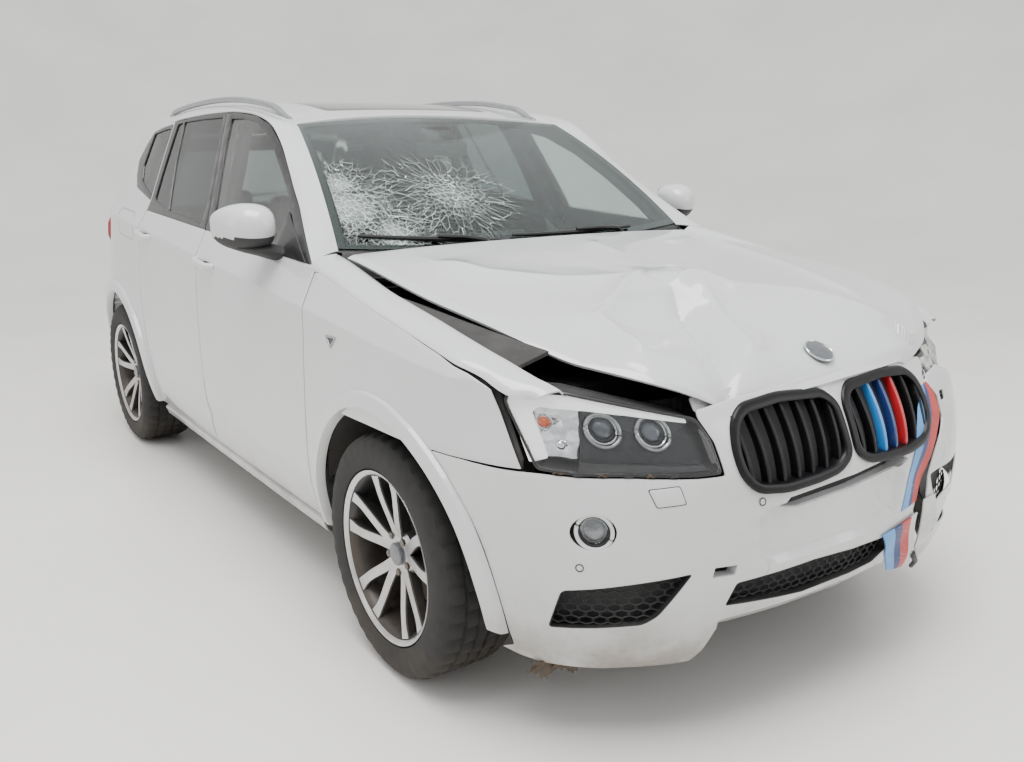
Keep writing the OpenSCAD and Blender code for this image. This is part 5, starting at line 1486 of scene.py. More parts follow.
bay_front = sheet("radiator_face", lambda u, v: Vector((lerp(-600, 600, u),
    -2060 + 60 * abs(2 * u - 1) ** 2 + 4 * math.sin(u * 400), lerp(330, 850, v))), 200, 12, 10, 0)
dress(bay_front, plastic_black)
left_arch = arch_edge(262, 742, 20)

def torn_form(s, z, depth):
    push = 12 * smooth((s - 420) / 200) + 7 * math.sin(s / 37.0) * math.sin(z / 41.0) * smooth((620 - s) / 200)
    return on_front(s, z, depth - 3 - push * 0.6)

torn_outline = (front_s([(430, 806), (452, 822), (520, 836), (600, 812), (690, 776), (806,
    745)]) + list(reversed(left_arch))
                + front_s([(800, 240), (690, 226), (540, 228), (452, 244), (410, 290), (372, 330), (392, 372), (391,
                    443), (362, 470), (352, 500),
                           (359, 556), (412, 630), (474, 700), (470, 760)]))
torn_holes = [rounded(front_s([(372, 560), (589, 569), (600, 540), (560, 487), (420, 470), (392, 500)]), 10),
              rounded(front_s([(488, 742), (520, 742), (520, 770), (488, 770)]), 3),
              rounded(front_s([(470, 380), (700, 350), (790, 352), (782, 440), (540, 452)]), 12),
              front_s([(726 + 43 * math.cos(k * math.pi / 12),
                  608 + 43 * math.sin(k * math.pi / 12)) for k in range(24)])]
torn = panel("torn_corner_skin", torn_outline, torn_form, 0, 4, torn_holes, step=18, rim=1.5)
dress(torn, bumper_paint, replaces=["torn_bumper_corner"])
backing("torn_back_upper", front_s([(372, 560), (589, 569), (600, 540), (560, 487), (420, 470), (392, 500)]), 30)
backing("torn_back_lower", front_s([(470, 380), (700, 350), (790, 352), (782, 440), (540, 452)]), 34)
backing("torn_back_square", front_s([(488, 742), (520, 742), (520, 770), (488, 770)]), 20)
lattice("torn_net", front_s([(476, 384), (700, 356), (786, 358), (778, 434), (544, 446)]), 24, 12)
print("torn corner:", len(torn.data.vertices), "points")

# %% Coloured tape
tape_blue = finish("tape_light_blue", (0.10, 0.30, 0.62), 0.42, tint=0.12, tint_scale=20, dirt=0.4, scratches=1.0,
    mud=DUST)
tape_navy = finish("tape_navy", (0.02, 0.04, 0.15), 0.42, tint=0.15, tint_scale=20, dirt=0.4, scratches=1.0, mud=DUST)
tape_red = finish("tape_red", (0.45, 0.035, 0.03), 0.42, tint=0.15, tint_scale=20, dirt=0.4, scratches=1.0, mud=DUST)
left_edge, right_edge = polyline(TAPE_LEFT, 20), polyline(TAPE_RIGHT, 20)

def tape_strip(name, share0, share1, material):
    def form(u, v):
        k = min(19, int(v * 20))
        f = v * 20 - k
        a = [lerp(p, q, f) for p, q in zip(left_edge[k], left_edge[k + 1])]
        b = [lerp(p, q, f) for p, q in zip(right_edge[k], right_edge[k + 1])]
        x, z = lerp(a[0], b[0], lerp(share0, share1, u)), lerp(a[1], b[1], lerp(share0, share1, u))
        return Vector(recessed(around(False, x, z), z, -2.2))
    dress(sheet(name, form, 6, 40, 1.2, 0), material, "body", "white_plastic")

tape_strip("tape_light_blue_upper", 0.0, 0.40, tape_blue)
tape_strip("tape_navy_upper", 0.40, 0.62, tape_navy)
tape_strip("tape_red_upper", 0.62, 1.0, tape_red)

FLAP = [(128, 446), (300, 468), (196, 318), (300, 300)]

def flap_form(share0, share1):
    def form(u, v):
        s = lerp(share0, share1, u)
        x = lerp(lerp(FLAP[0][0], FLAP[1][0], s), lerp(FLAP[2][0], FLAP[3][0], s), v)
        z = lerp(lerp(FLAP[0][1], FLAP[1][1], s), lerp(FLAP[2][1], FLAP[3][1], s), v)
        stand = -6 - 8 * s * smooth(v * 1.2) - 3 * math.sin(v * 7 + s * 3)
        return Vector(on_front(around(False, x, z), z, stand))
    return form

for name, a, b, material in (("flap_light_blue", 0, 0.30, tape_blue), ("flap_navy", 0.30, 0.52, tape_navy),
    ("flap_red", 0.52, 0.80, tape_red), ("flap_white", 0.80, 1.0, bumper_paint)):
    dress(sheet(name, flap_form(a, b), 6, 20, 4, 0), material, "body", "white_plastic")
tab = [Vector(on_front(around(False, x, z), z, d)) for x, z, d in ((300, 345, -16), (322, 322, -20), (352, 300, -20),
    (372, 268, -14))]
dress(tube("hanging_clip", polyline([tuple(p) for p in tab], 10), lambda k: 9 - 3 * k, 8), plastic_black)
tag = sheet("torn_strip", lambda u, v: Vector(on_front(around(False, lerp(325, 392, u), lerp(500, 350, v)), lerp(500,
    350, v), -10 - 14 * math.sin(v * 3) * u)), 8, 20, 4, 0)
dress(tag, bumper_paint)
print("tape:", [o.name for o in bpy.data.objects if "tape" in o.name])

# %% Torn clips and shreds under the bumper
rust_brown = finish("rust_brown", (0.055, 0.038, 0.025), 0.85, tint=0.5, tint_scale=60, dirt=0.5, grain=0.8,
    grain_scale=300)
for k, (x, z) in enumerate(((-560, 727), (-610, 730), (-655, 733), (-706, 736), (-752, 739), (-786, 742))):
    clip = [tuple(on_front(around(False, x + dx, z), z + dz, depth)) for dx, dz, depth in ((0, 0, 3),
        (6, 3 + k % 2 * 3, -2), (13, 1, 0), (20, 4, 4))]
    dress(tube(f"torn_clip_{k}", polyline(clip, 6), 3.2, 6), rust_brown if k % 2 else plastic_black, "body",
        "black_plastic")
for k, (x, y, length) in enumerate(((-790, -1985, 30), (-764, -2000, 46), (-738, -2016, 26), (-712, -2030, 38))):
    shred = sheet(f"under_shred_{k}", lambda u, v, x=x, y=y, length=length,
        k=k: Vector((x + 36 * u * (1 - 0.6 * v) + 9 * math.sin(5 * v + k), y - 16 * u + 10 * v,
                  226 - length * v - 5 * math.sin(9 * u + k) * v)), 6, 8, 3, 0)
    dress(shred, rust_brown)
print("shreds:", len([o for o in bpy.data.objects if "shred" in o.name or "clip" in o.name]))

# %% [markdown]
# ## Wheels
# One wheel is modelled with its axle along X, outward at +X, and copied to the four hubs. The tyre and the rim are
# profiles spun round the axle. Each of the ten spokes is a dark bar with a machined plate on its face.

# %% Spun and lofted pieces
def spun(name, profile, segments=96, wave=None, closed=False):
    """A profile of (along X, radius) points spun round the X axis. wave(i, k) may move a point by (x, radius)."""
    rings = []
    for i, angle in enumerate(circle(segments)):
        moves = [wave(i, k) if wave else (0, 0) for k in range(len(profile))]
        rings.append([(x + dx, (r + dr) * math.cos(angle), (r + dr) * math.sin(angle))
                      for (x, r), (dx, dr) in zip(profile, moves)])
    return ring_skin(name, rings, closed, True, 35, 1e-6)

def loft(name, rings):
    """A closed body through rings of points in millimetres."""
    return ring_skin(name, rings, angle=35)

def joined(name, pieces):
    """Several pieces made into one object."""
    clear_selection()
    for piece in pieces:
        piece.select_set(True)
    bpy.context.view_layer.objects.active = pieces[0]
    bpy.ops.object.join()
    made = bpy.context.object
    made.name = made.data.name = name
    return made

print("spinning helpers ready")

# %% Tyre and rim
TREAD = [(-84, 352), (-66, 352), (-63, 344), (-57, 344), (-54, 352), (-24, 352), (-21, 344), (-15, 344), (-12, 352),
    (12, 352), (15, 344), (21, 344),
         (24, 352), (54, 352), (57, 344), (63, 344), (66, 352), (84, 352)]
tyre_profile = ([(-100, 252), (-119, 256), (-123, 275), (-124, 300), (-121, 322), (-114, 334), (-106, 344), (-96,
    349)] + TREAD
                + [(96, 349), (106, 344), (114, 334), (121, 322), (124, 300), (123, 275), (119, 256), (100, 252)])

def tread_wave(i, k):
    """Cross grooves: blocks between them, staggered from rib to rib; lugs on the shoulders."""
    x, r = tyre_profile[k]
    phase = (i + (2 if abs(x) > 60 else 0) + (1 if x > 0 else 0)) % 4
    if r > 348:
        return (0, -6.5 if phase == 0 else 0)
    if 320 < r < 348:
        return (math.copysign(-2.5 if phase in (0, 1) else 0, x), -2.0 if phase in (0, 1) else 0)
    if 296 < r < 305 or 270 < r < 280:
        return (math.copysign(0.8 * (i % 2), x), 0)
    return (0, 0)

rim_profile = [(-112, 250), (-108, 236), (-60, 226), (20, 224), (84, 231), (100, 238), (106, 247), (113, 252), (116,
    250), (114, 244), (107, 236), (98, 229),
               (84, 222), (20, 216), (-60, 218), (-106, 228), (-114, 244)]

def spoke(angle, lean, face):
    """A spoke from the hub to the rim: its rings are rectangles with cut corners. face makes the machined plate."""
    rings = []
    for k in range(15):
        t = k / 14
        r = lerp(38, 232, t)
        turn = math.radians(angle + lean * (8.5 + 4.5 * smooth(t * 1.1)) + lean * 2.5 * math.sin(t * math.pi))
        half = lerp(17, 15.5, smooth(t)) + 5 * smooth((t - 0.8) / 0.2) - (1.6 if face else 0)
        front = 64 + 20 * math.sin(min(1, t * 1.25) * math.pi / 2) + 20 * t * t + (1.2 if face else 0)
        depth = 3 if face else lerp(40, 26, t)
        radial, side = Vector((0, math.cos(turn), math.sin(turn))), Vector((0, -math.sin(turn), math.cos(turn)))
        chamfer = 0.8 if face else 4
        corners = [(-half, -chamfer), (-half + chamfer, 0), (half - chamfer, 0), (half, -chamfer), (half * 0.8,
            -depth), (-half * 0.8, -depth)]
        rings.append([tuple(radial * r + side * a + Vector((front + b, 0, 0))) for a, b in corners])
    return loft("spoke", rings)

def wheel_parts():
    parts = {}
    parts["tyre_tread"] = (spun("tyre_tread", tyre_profile, 160, tread_wave, True), rubber, "tyre_rubber")
    parts["rim_barrel"] = (spun("rim_barrel", rim_profile, 96, None, True), rim_grey, "rim_alloy")
    lip = spun("rim_lip", [(113.5, 251.5), (116.8, 250), (115, 243), (108, 236), (107, 237)], 96, None, True)
    parts["rim_lip"] = (lip, rim_machined, "rim_alloy")
    angles = [90 + 72 * k for k in range(5)]
    parts["spokes"] = (joined("spokes", [spoke(a, s, False) for a in angles for s in (-1, 1)]), rim_grey, "rim_alloy")
    parts["spoke_faces"] = (joined("spoke_faces", [spoke(a, s, True) for a in angles for s in (-1, 1)]),
        rim_machined, "rim_alloy")
    hub = spun("hub", [(20, 0), (20, 78), (56, 76), (66, 66), (69, 48), (66, 34), (66, 0)], 64)
    parts["hub"] = (hub, rim_machined, "rim_alloy")
    parts["hub_cap"] = (spun("hub_cap", [(60, 33), (76, 33), (79, 30), (80.5, 15), (81, 0)], 48), badge_finish,
        "black_plastic")
    bolts = []
    for k in range(5):
        turn = math.radians(54 + 72 * k)
        bolt = spun("bolt", [(50, 11), (72, 11), (74, 9), (74, 0)], 6)
        for v in bolt.data.vertices:
            v.co += Vector((0, 56 * math.cos(turn), 56 * math.sin(turn))) * MM
        bolts.append(bolt)
    parts["bolts"] = (joined("bolts", bolts), disc_steel, "exhaust_steel")
    parts["brake_disc"] = (spun("brake_disc", [(-38, 60), (-38, 163), (-36, 165), (-14, 165), (-12, 163), (-12, 84),
        (18, 80), (18, 0)], 96), disc_steel, "exhaust_steel")
    return parts

parts = wheel_parts()
AXLES = {"front": FRONT_AXLE, "rear": REAR_AXLE}
for label, (piece, material, slot) in parts.items():
    for end, axle in AXLES.items():
        for side, sign in (("left", 1), ("right", -1)):
            name = f"{label}_{end}_{side}"
            twin = (mirrored if sign < 0 else copied)(piece, name)
            for v in twin.data.vertices:
                v.co += Vector((sign * 808, axle, HUB_HEIGHT)) * MM
            node_name = {"tyre_tread": f"tyre_{end}_{side}", "rim_barrel": f"wheel_{end}_{side}"}.get(label)
            dress(twin, material, f"wheel_{end}_{side}", slot, [node_name] if node_name else [])
for piece, _, _ in parts.values():
    bpy.data.objects.remove(piece)

def caliper(end, sign):
    rings = []
    for k in range(9):
        turn = math.radians(lerp(150, 205, k / 8) if end == "front" else lerp(-25, 30, k / 8))
        swell = 8 * math.sin(math.pi * k / 8)
        rings.append([(808 * sign + sign * x, AXLES[end] + r * math.cos(turn), HUB_HEIGHT + r * math.sin(turn))
                      for x, r in ((-60 - swell, 112), (-60 - swell, 178 + swell), (8 + swell, 180 + swell),
                          (12 + swell, 150), (8, 118))])
    return loft(f"caliper_{end}_{'left' if sign > 0 else 'right'}", rings)

for end in AXLES:
    for side, sign in (("left", 1), ("right", -1)):
        dress(caliper(end, sign), cast_metal, f"knuckle_{side}" if end == "front" else "body", "cast_metal")

# %% [markdown]
# ## Mirrors, handles and small side pieces
# The mirror housing is a loft of rounded sections that is flat behind, where the glass sits.

# %% Mirrors
MIRROR = ((872, 34, 30, -664), (884, 66, 54, -668), (905, 86, 68, -672), (935, 95, 75, -672), (975, 95, 75, -662),
    (1010, 82, 66, -644), (1034, 60, 50, -618), (1045, 38, 32, -602), (1048, 16, 14, -594))

def mirror_ring(x, shrink=1.0, n=32):
    ry, rz, cy = (curve([(m[0], m[k]) for m in MIRROR], x) for k in (1, 2, 3))
    points = []
    for k in range(n):
        a = 2 * math.pi * k / n
        c, s = math.cos(a), math.sin(a)
        y = cy + ry * shrink * (min(0.62, c) if c > 0 else c)
        points.append((x, y, 1226 + rz * shrink * math.copysign(abs(s) ** 0.85, s) - 4 * (1 - abs(c))))
    return points

xs = [872, 876, 884, 894, 906, 920, 940, 960, 980, 1000, 1015, 1026, 1035, 1041, 1045, 1047.5]
shell = loft("mirror_shell", [mirror_ring(x) for x in xs])
for half_shell in both_sides(shell, "mirror_shell", paint, "front_door_{}", "white_plastic", ["mirror_{}"]):
    half_shell.data.materials.append(plastic_black)
    for face in half_shell.data.polygons:
        if face.center.z < 1.192:
            face.material_index = 1
mirror_face = sheet("mirror_glass", lambda u, v: Vector((lerp(892, 1032, u),
    curve([(m[0], m[3] + 0.62 * m[1]) for m in MIRROR], lerp(892, 1032, u)) + 1.5,
                    1224 + (2 * v - 1) * 0.84 * curve([(m[0], m[2]) for m in MIRROR], lerp(892, 1032, u)))), 16, 12,
                        1.5, 0)
both_sides(mirror_face, "mirror_glass", chrome, "front_door_{}", "clear_glass")
foot = loft("mirror_foot", [[(x, y0 + (y1 - y0) * 0.5 + 0.5 * (y1 - y0) * math.cos(a),
    z + h * math.sin(a)) for a in circle(20)]
                            for x, y0, y1, z, h in ((846, -740, -610, 1130, 26), (868, -735, -612, 1134, 27), (895,
                                -738, -606, 1142, 27), (930, -742, -604, 1150, 22), (975, -720, -606, 1156, 14),
                                    (1000, -690, -610, 1160, 8))])
both_sides(foot, "mirror_foot", plastic_black, "front_door_{}", "black_plastic")
corner = panel("mirror_corner", rounded([(-905, 1122), (-640, 1134), (-622, 1262), (-700, 1222)], 8), on_side, -3, 6,
    (), step=40, rim=2)
both_sides(corner, "mirror_corner", trim_black, "front_door_{}", "black_plastic")
print("mirror points:", len(shell.data.vertices))

# %% Handles, flap, side marker and seams
for door, y0, y1, z0, z1 in (("front_door", -186, -6, 1044, 1058), ("rear_door", 655, 817, 1092, 1106)):
    points = []
    for k in range(17):
        t = k / 16
        y, z = lerp(y0, y1, t), lerp(z0, z1, t)
        out = 30 * smooth(t * 7) * smooth((1 - t) * 7) - 4
        points.append((side_x(y, z) + out, y, z))
    grip = tube(door + "_handle", points, lambda t: 9.5 + 2 * math.sin(t * math.pi), 14)
    for v in grip.data.vertices:
        v.co.z = lerp(z0, z1, clamp((v.co.y / MM - y0) / (y1 - y0))) * MM + (v.co.z - lerp(z0, z1,
            clamp((v.co.y / MM - y0) / (y1 - y0))) * MM) * 1.35
    both_sides(grip, door + "_handle", paint, door + "_{}", "white_paint")
    # A dark oval on the white door round each handle: painted shadow of the handle.
    y_shadow = lerp(y0, y1, 0.42)
    shadow_patch = panel(door + "_handle_cup", [(y_shadow + 56 * math.cos(k * math.pi / 12), lerp(z0, z1,
        0.42) - 6 + 15 * math.sin(k * math.pi / 12)) for k in range(24)], on_side, -0.5, 1, (), step=40, rim=0)
    both_sides(shadow_patch, door + "_handle_cup", rim_grey, door + "_{}", "white_paint")
marker = [(-1236, 946), (-1158, 942), (-1194, 905)]
both_sides(panel("side_marker", rounded(marker, 8), on_side, -3, 5, [rounded(grown(marker, -7), 6)], step=40,
    rim=1.2), "side_marker", aluminium)
both_sides(panel("side_marker_lens", rounded(grown(marker, -7), 6), on_side, -1.5, 3, (), step=40, rim=0),
    "side_marker_lens", housing_grey)
FLAP_SEAM = rounded([(948, 1060), (1214, 1078), (1206, 1196), (958, 1182)], 30)
seam = panel("fuel_flap_seam", grown(FLAP_SEAM, 2.2), on_side, -0.4, 1, [FLAP_SEAM], step=40, rim=0)
seam = mirrored(seam, "fuel_flap_seam_right")
bpy.data.objects.remove(bpy.data.objects["fuel_flap_seam"])
dress(seam, trim_black, "body", "white_paint")
print("handles:", [o.name for o in bpy.data.objects if "handle" in o.name])

# %% [markdown]
# ## Tail
# The rear bumper is pressed onto the tail's curve like the front one. The tailgate is a sheet over the tail's height,
# with its own window, lamps that run on from the lamps in the quarter panels, and a blank field for the number plate.

# %% Rear bumper and tailgate
def on_tail(s, z, depth):
    return on_end(True, s, z, depth)

def s_tail(y, z):
    low, high = 300.0, 1500.0
    for _ in range(40):
        middle = (low + high) / 2
        if on_tail(middle, z, 0)[1] > y:
            low = middle
        else:
            high = middle
    return low

rear_arch = [(s_tail(REAR_AXLE + math.sqrt((TRIM + 1) ** 2 - (z - HUB_HEIGHT) ** 2), z), z) for z in (lerp(252, 645,
    k / 16) for k in range(17))]
rear_outline = ([(-s, z) for s, z in rear_arch] + [(0, 645)] + list(reversed(rear_arch)) + [(700, 236), (0, 240),
    (-700, 236)])
rear_outline = [(s, z + 9 if z > 640 else z) for s, z in rear_outline]

def tail_step(s, z, depth):
    """A step under the tailgate and a sunk lower field."""
    return on_tail(s, z, depth + 1 - 2 * smooth((z - 560) / 25) + 12 * smooth((400 - z) / 20) * smooth((720 - abs(s)) / 60))

rear_skin = panel("rear_bumper_skin", rear_outline, tail_step, 0, 5, (), step=26, rim=2)
dress(rear_skin, bumper_paint, replaces=["rear_bumper"])
diffuser = panel("rear_diffuser", rounded([(-620, 262), (620, 262), (560, 396), (-560, 396)], 20), tail_step, -3, 5,
    (), step=40, rim=2)
dress(diffuser, plastic_black)
for side, sign in (("left", 1), ("right", -1)):
    reflector = panel("rear_reflector_" + side, rounded([(sign * 560, 424), (sign * 760, 424), (sign * 770, 448),
        (sign * 560, 448)], 8), tail_step, -2, 4, (), step=40, rim=1)
    dress(reflector, slat_red)
    # A black disc just inside each tip's end: soot, and painted shade for the pipe's hollow.
    dress(tube("exhaust_hole_" + side, [(sign * 470, 2180, 262), (sign * 470, 2249.5, 262)], 28, 28), plastic_black,
        "body", "exhaust_steel")
    tip = tube("exhaust_tip_" + side, [(sign * 470, 2120, 262), (sign * 470, 2248, 262)], 34, 28)
    dress(tip, chrome, "body", "exhaust_steel")

TAIL_HALF = ((640, 650), (900, 604), (1130, 604), (1220, 630), (1300, 600), (1558, 552))
TAIL_Y = ((640, 2284), (800, 2262), (930, 2256), (1060, 2240), (1150, 2204), (1300, 2104), (1450, 2000), (1558, 1902))

def tail_surface(x, z, out=0.0):
    half = curve(TAIL_HALF, z)
    u = x / half
    y = curve(TAIL_Y, z) - 60 * u * u
    slope = (curve(TAIL_Y, z + 5) - curve(TAIL_Y, z - 5)) / 10
    normal = Vector((120 * u / half, 1, -slope)).normalized()
    return Vector((x, y, z - 24 * abs(u) ** 2.4 * smooth((z - 1400) / 150))) + normal * out

def gate_form(y, z, depth):
    """The tailgate's pattern: its first coordinate is x. The plate field is sunk, and a crease runs across."""
    plate_in = inside_by([(-290, 800), (290, 800), (270, 925), (-270, 925)], y, z)
    sunk = 16 * smooth((plate_in + 10) / 22) + 5 * math.exp(-((z - 1010) / 12) ** 2)
    p = tail_surface(y, z, -depth - sunk)
    return tuple(p)

gate_outline = [(-curve(TAIL_HALF, z), z) for z in (656, 760, 860, 960, 1060, 1130, 1220, 1300, 1380, 1460, 1550)]
gate_outline = gate_outline + [(-x, z) for x, z in reversed(gate_outline)]
REAR_SCREEN = [(-525, 1140), (-538, 1210), (-516, 1340), (-486, 1470), (486, 1470), (516, 1340), (538, 1210), (525,
    1140)]
gate = panel("tailgate_skin", rounded(gate_outline, 6, 3), gate_form, 0, 16, [rounded(REAR_SCREEN, 26)], step=28,
    rim=2.5)
dress(gate, paint, "tailgate", "white_paint", ["tailgate"])
rear_pane = panel("tailgate_pane", rounded(grown(REAR_SCREEN, 12), 30), gate_form, -1.5, 5, (), step=40, rim=1)
dress(rear_pane, tinted_pane, "tailgate", "dark_glass", ["tailgate_glass"])
lining = panel("tailgate_lining", grown(gate_outline, -14), gate_form, 18, 8, [rounded(grown(REAR_SCREEN, -4), 26)],
    step=60, rim=2)
dress(lining, cabin_plastic, "tailgate", "black_plastic")
plate = panel("blank_plate", rounded([(-255, 812), (255, 812), (255, 915), (-255, 915)], 10), gate_form, -2, 2, (),
    step=60, rim=0.8)
plate_finish = finish("blank_plate", (0.70, 0.70, 0.66), 0.35, tint=0.06, dirt=0.4, scratches=0.5)
dress(plate, plate_finish, "tailgate", "white_plastic")
grip_bar = panel("tailgate_grip", rounded([(-330, 938), (330, 938), (322, 962), (-322, 962)], 8), gate_form, -10, 12,
    (), step=60, rim=4)
dress(grip_bar, chrome, "tailgate", "satin_aluminium")
spoiler = sheet("roof_spoiler", lambda u, v: tail_surface((2 * u - 1) * 540, lerp(1550, 1500, v),
    3 + 34 * math.sin(v * math.pi * 0.9)) + Vector((0, 10 * v, 0)), 40, 10, 5, 0)
dress(spoiler, paint, "tailgate", "white_paint")
wiper = tube("rear_wiper", [tuple(tail_surface(x, 1165 + 0.05 * x, 14)) for x in range(0, 401, 40)],
    lambda t: 11 - 6 * t, 8)
dress(wiper, plastic_black, "tailgate", "black_plastic")
print("tail pieces ready")

# %% Tail lamps
red_lens = finish("red_lens", (0.26, 0.006, 0.008), 0.12, coat=0.8, tint=0.2, tint_scale=60, dirt=0.3, scratches=0.2,
    mud=DUST)
clear_red = finish("lamp_white", (0.72, 0.70, 0.68), 0.15, coat=0.6, tint=0.15, tint_scale=60, dirt=0.3, mud=DUST)
lamp_field = [(646, 950), (700, 946), (836, 960), (874, 1000), (868, 1070), (816, 1112), (646, 1116)]

def lamp_form(s, z, depth):
    p = on_tail(s, z, depth - 5 * math.cos((z - 1030) / 90 * math.pi / 2))
    return p

for name, outline, material, front in (("tail_lamp_outer", lamp_field, red_lens, 0), ("tail_lamp_stripe",
    [(660, 1022), (850, 1026), (846, 1046), (660, 1044)], clear_red, -6)):
    both_sides(panel(name, rounded(outline, 10), lamp_form, front, 30 if front == 0 else 3, (), step=24, rim=2),
        name, material, "body", "red_lens", ["tail_lights"])
for side, sign in (("left", 1), ("right", -1)):
    inner = [(sign * 596, 958), (sign * 400, 970), (sign * 372, 1010), (sign * 400, 1060), (sign * 598, 1108)]
    dress(panel("gate_lamp_" + side, rounded(inner, 14), gate_form, -7, 14, (), step=30, rim=4), red_lens,
        "tailgate", "red_lens")
print("lamps:", [o.name for o in bpy.data.objects if "lamp" in o.name][:6])

# %% [markdown]
# ## Cabin
# The seats are soft.

# %% Padded seats
def pad(name, low, high, tilt=0.0, pivot=(0, 0, 0), sew=0.0, cap=0.024):
    """A pad between two corners, leaning back by tilt degrees about pivot. sew is the depth of its seams."""
    piece = box(name, low, high, 0)
    bevel(piece, 0.045, 5, 30)
    activate(piece)
    piece.data.remesh_voxel_size = 0.008
    bpy.ops.object.voxel_remesh()
    before = [v.co.copy() for v in piece.data.vertices]
    cloth = piece.modifiers.new("cloth", "CLOTH")
    cloth.settings.use_pressure = True
    cloth.settings.uniform_pressure_force = 4.0
    cloth.settings.effector_weights.gravity = 0.0
    cloth.point_cache.frame_start, cloth.point_cache.frame_end = 1, 12
    for number in range(1, 13):
        bpy.context.scene.frame_set(number)
    bpy.ops.object.modifier_apply(modifier="cloth")
    bpy.context.scene.frame_set(1)
    for v, was in zip(piece.data.vertices, before):
        move = v.co - was
        if move.length > cap:
            v.co = was + move.normalized() * cap
    centre = (Vector(low) + Vector(high)) / 2 * MM
    half = (Vector(high) - Vector(low)) / 2 * MM
    for v in piece.data.vertices:
        q = v.co - centre
        across_share = abs(q.x) / half.x
        v.co.x = centre.x + q.x * (1 - 0.05 * (1 - (abs(q.y) / half.y) ** 2))
        seam_line = math.exp(-((across_share - 0.58) / 0.045) ** 2)
        pulled = Vector((0, q.y / half.y, q.z / half.z))
        v.co -= pulled * sew * MM * seam_line
    lean = Matrix.Rotation(math.radians(-tilt), 4, "X")
    for v in piece.data.vertices:
        v.co = lean @ (v.co - Vector(pivot) * MM) + Vector(pivot) * MM
    return shade(piece, 60)

front_pads = [("front_seat_cushion", (150, -420, 430), (620, 80, 560), 4, (385, 80, 500), 7), ("front_seat_back",
    (165, 30, 540), (605, 150, 1110), 20, (385, 40, 540), 8),
              ("front_headrest", (260, 228, 1105), (510, 318, 1270), 10, (385, 270, 1105), 3)]
for name, low, high, tilt, pivot, sew in front_pads:
    one = pad(name, low, high, tilt, pivot, sew)
    both_sides(one, name, leather, replaces=["front_seats"])
for name, low, high, tilt, pivot, sew in (("rear_seat_cushion", (-600, 420, 420), (600, 880, 560), 3, (0, 870, 500),
    7), ("rear_seat_back", (-600, 905, 540), (600, 1010, 1130), 18, (0, 900, 540), 8)):
    dress(pad(name, low, high, tilt, pivot, sew), leather, replaces=["rear_seat"])
for side, sign in (("left", 1), ("right", -1)):
    dress(pad("rear_headrest_" + side, (sign * 380 - 120, 1120, 1130), (sign * 380 + 120, 1190, 1260), 6,
        (sign * 380, 1150, 1130), 2), leather)
    dress(box("seat_base_" + side, (sign * 385 - 210, -340, 262), (sign * 385 + 210, 60, 440), 12), cabin_plastic)
print("pads:", len([o for o in bpy.data.objects if "seat" in o.name or "headrest" in o.name]))

# %% Dashboard, steering wheel, linings
def dash_form(u, v):
    x = lerp(-690, 690, u)
    top = 1052 + 26 * math.exp(-((x - 380) / 190) ** 2) + 14 * math.exp(-(x / 160) ** 2)
    line = [(-985, 1040), (-900, top - 6), (-800, top), (-690, top - 12), (-640, top - 60), (-655, 900), (-700, 780),
        (-760, 700)]
    k = min(6, int(v * 7))
    f = v * 7 - k
    return Vector((x, lerp(line[k][0], line[k + 1][0], f), lerp(line[k][1], line[k + 1][1], f)))

dress(sheet("dashboard_skin", dash_form, 60, 28, 8, 0, 60), cabin_plastic, replaces=["dashboard"])
dress(box("console", (-115, -780, 300), (115, 200, 600), 20), cabin_plastic)
dress(box("centre_screen", (-130, -700, 1062), (130, -672, 1150), 8), dark_glass, "body", "black_plastic")
centre = Vector((380, -545, 950))
turn = Matrix.Rotation(math.radians(-65), 3, "X")
rim_line = [tuple(centre + turn @ Vector((172 * math.cos(a), 172 * math.sin(a), 0))) for a in circle(48)]
dress(tube("steering_rim", rim_line, 15, 14, True), leather, "steering_wheel", "wheel_leather", ["steering_wheel"])
boss = spun("steering_boss", [(-26, 0), (-26, 62), (-10, 74), (8, 70), (16, 46), (19, 0)], 40)
to_wheel = turn @ Vector((0, 0, 1)).rotation_difference(Vector((1, 0, 0))).to_matrix().inverted()
for v in boss.data.vertices:
    v.co = to_wheel @ v.co + centre * MM
dress(boss, cabin_plastic, "steering_wheel", "wheel_leather")
for k, a in enumerate((0, 180, 270)):
    a = math.radians(a)
    spoke_line = [tuple(centre + turn @ Vector((r * math.cos(a), r * math.sin(a), -6))) for r in (50, 90, 130, 166)]
    dress(tube(f"steering_spoke_{k}", spoke_line, lambda t: 17 - 5 * t, 10), cabin_plastic, "steering_wheel",
        "wheel_leather")
dress(tube("steering_column", [(380, -700, 893), (380, -560, 943)], 34, 20), cabin_plastic)
lining_cloth = finish("head_lining", (0.07, 0.07, 0.068), 0.95, tint=0.1, dirt=0.0, grain=0.8, grain_scale=500)
ceiling = sheet("head_lining", lambda u, v: Vector(roof_form(lerp(0.04, 0.96, u), lerp(0.02, 0.97, v))) - Vector((0,
    0, 34)), 30, 30, 4, 0)
hole = box("lining_hole", (-370, -50, 1450), (370, 890, 1800))
cut(ceiling, hole)
dress(ceiling, lining_cloth)
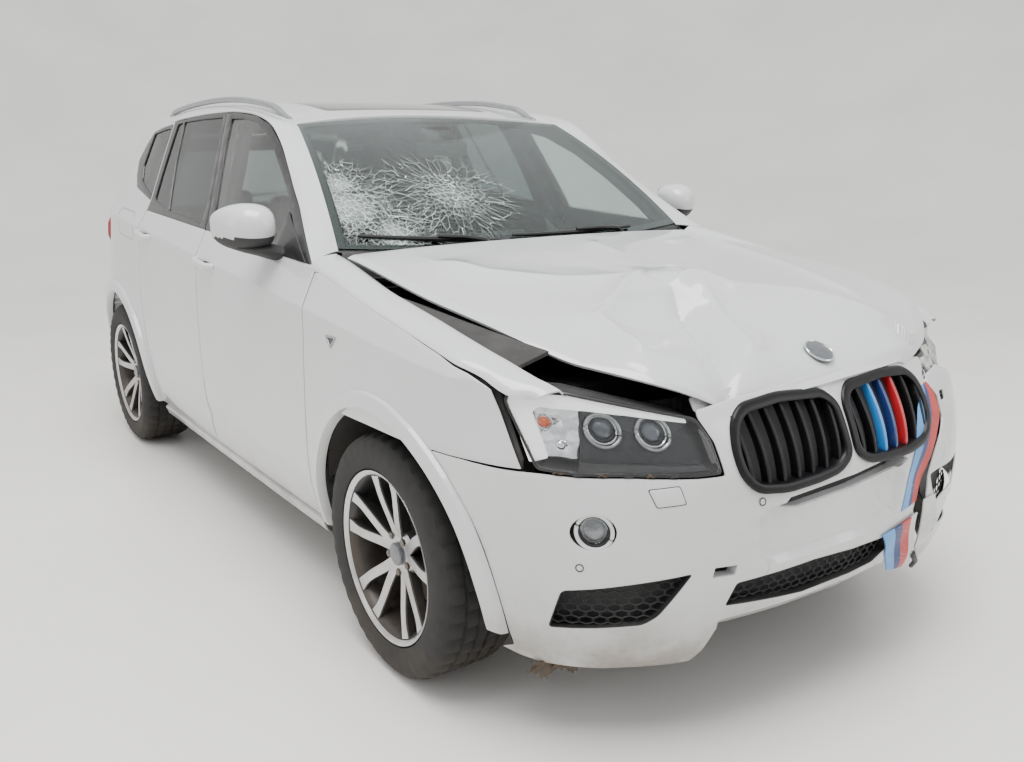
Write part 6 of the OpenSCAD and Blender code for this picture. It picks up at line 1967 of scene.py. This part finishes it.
dress(box("floor_carpet", (-680, -960, 262), (680, 870, 276), 0), carpet)
dress(box("boot_floor", (-635, 1010, 572), (635, 2150, 590), 0), carpet)
for door, y0, y1 in (("front_door", -900, 0), ("rear_door", 110, 770)):
    for name, z0, z1, depth in (("lining", 380, 1085, 97), ("armrest", 700, 770, 118)):
        def lining_form(u, v, y0=y0, y1=y1, z0=z0, z1=z1, depth=depth):
            y, z = lerp(y0, y1, u), lerp(z0, z1, v)
            return Vector((side_x(y, z) - depth - 10 * math.sin(v * math.pi), y, z))
        piece = sheet(f"{door}_{name}", lining_form, 24, 12, 4, 0)
        both_sides(piece, f"{door}_{name}", cabin_plastic, door + "_{}", "black_plastic")
mirror_stem = Vector(screen(0, 0.80)) + Vector((0, 40, -20))
dress(box("cabin_mirror", tuple(mirror_stem + Vector((-115, -8, -62))), tuple(mirror_stem + Vector((115, 14, -2))),
    8), trim_black)
print("cabin pieces ready")

# %% [markdown]
# ## Finishes for the CAD nodes that stay
# What is hidden, or already has its right shape, keeps its CAD mesh and gets a finish.

# %% Finishes of the CAD nodes
CAD_FINISHES = {"underbody": underside, "front_subframe": underside, "rear_subframe": underside,
    "exhaust": disc_steel,
                "engine": cast_metal, "front_carrier": plastic_black, "cowl_and_wipers": plastic_black,
                    "grilles": plastic_black,
                "knuckle_left": cast_metal, "knuckle_right": cast_metal, "dashboard": cabin_plastic,
                    "rear_seat": leather,
                "front_seats": leather, "steering_wheel": leather, "tail_lights": trim_black,
                    "sunroof_glass": trim_black}
for name, piece in nodes.items():
    if piece.hide_render:
        continue
    material = CAD_FINISHES.get(name, paint)
    if name.startswith("tyre"):
        material = rubber
    if name.startswith("wheel"):
        material = rim_machined
    if not piece.material_slots:
        piece.data.materials.append(material)
    for slot in piece.material_slots:
        slot.material = material
print("CAD nodes shown:", sorted(n for n, piece in nodes.items() if not piece.hide_render))

# %% Box of the finished looks
low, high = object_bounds()
print("visual box:", [round(c, 4) for c in low], [round(c, 4) for c in high])
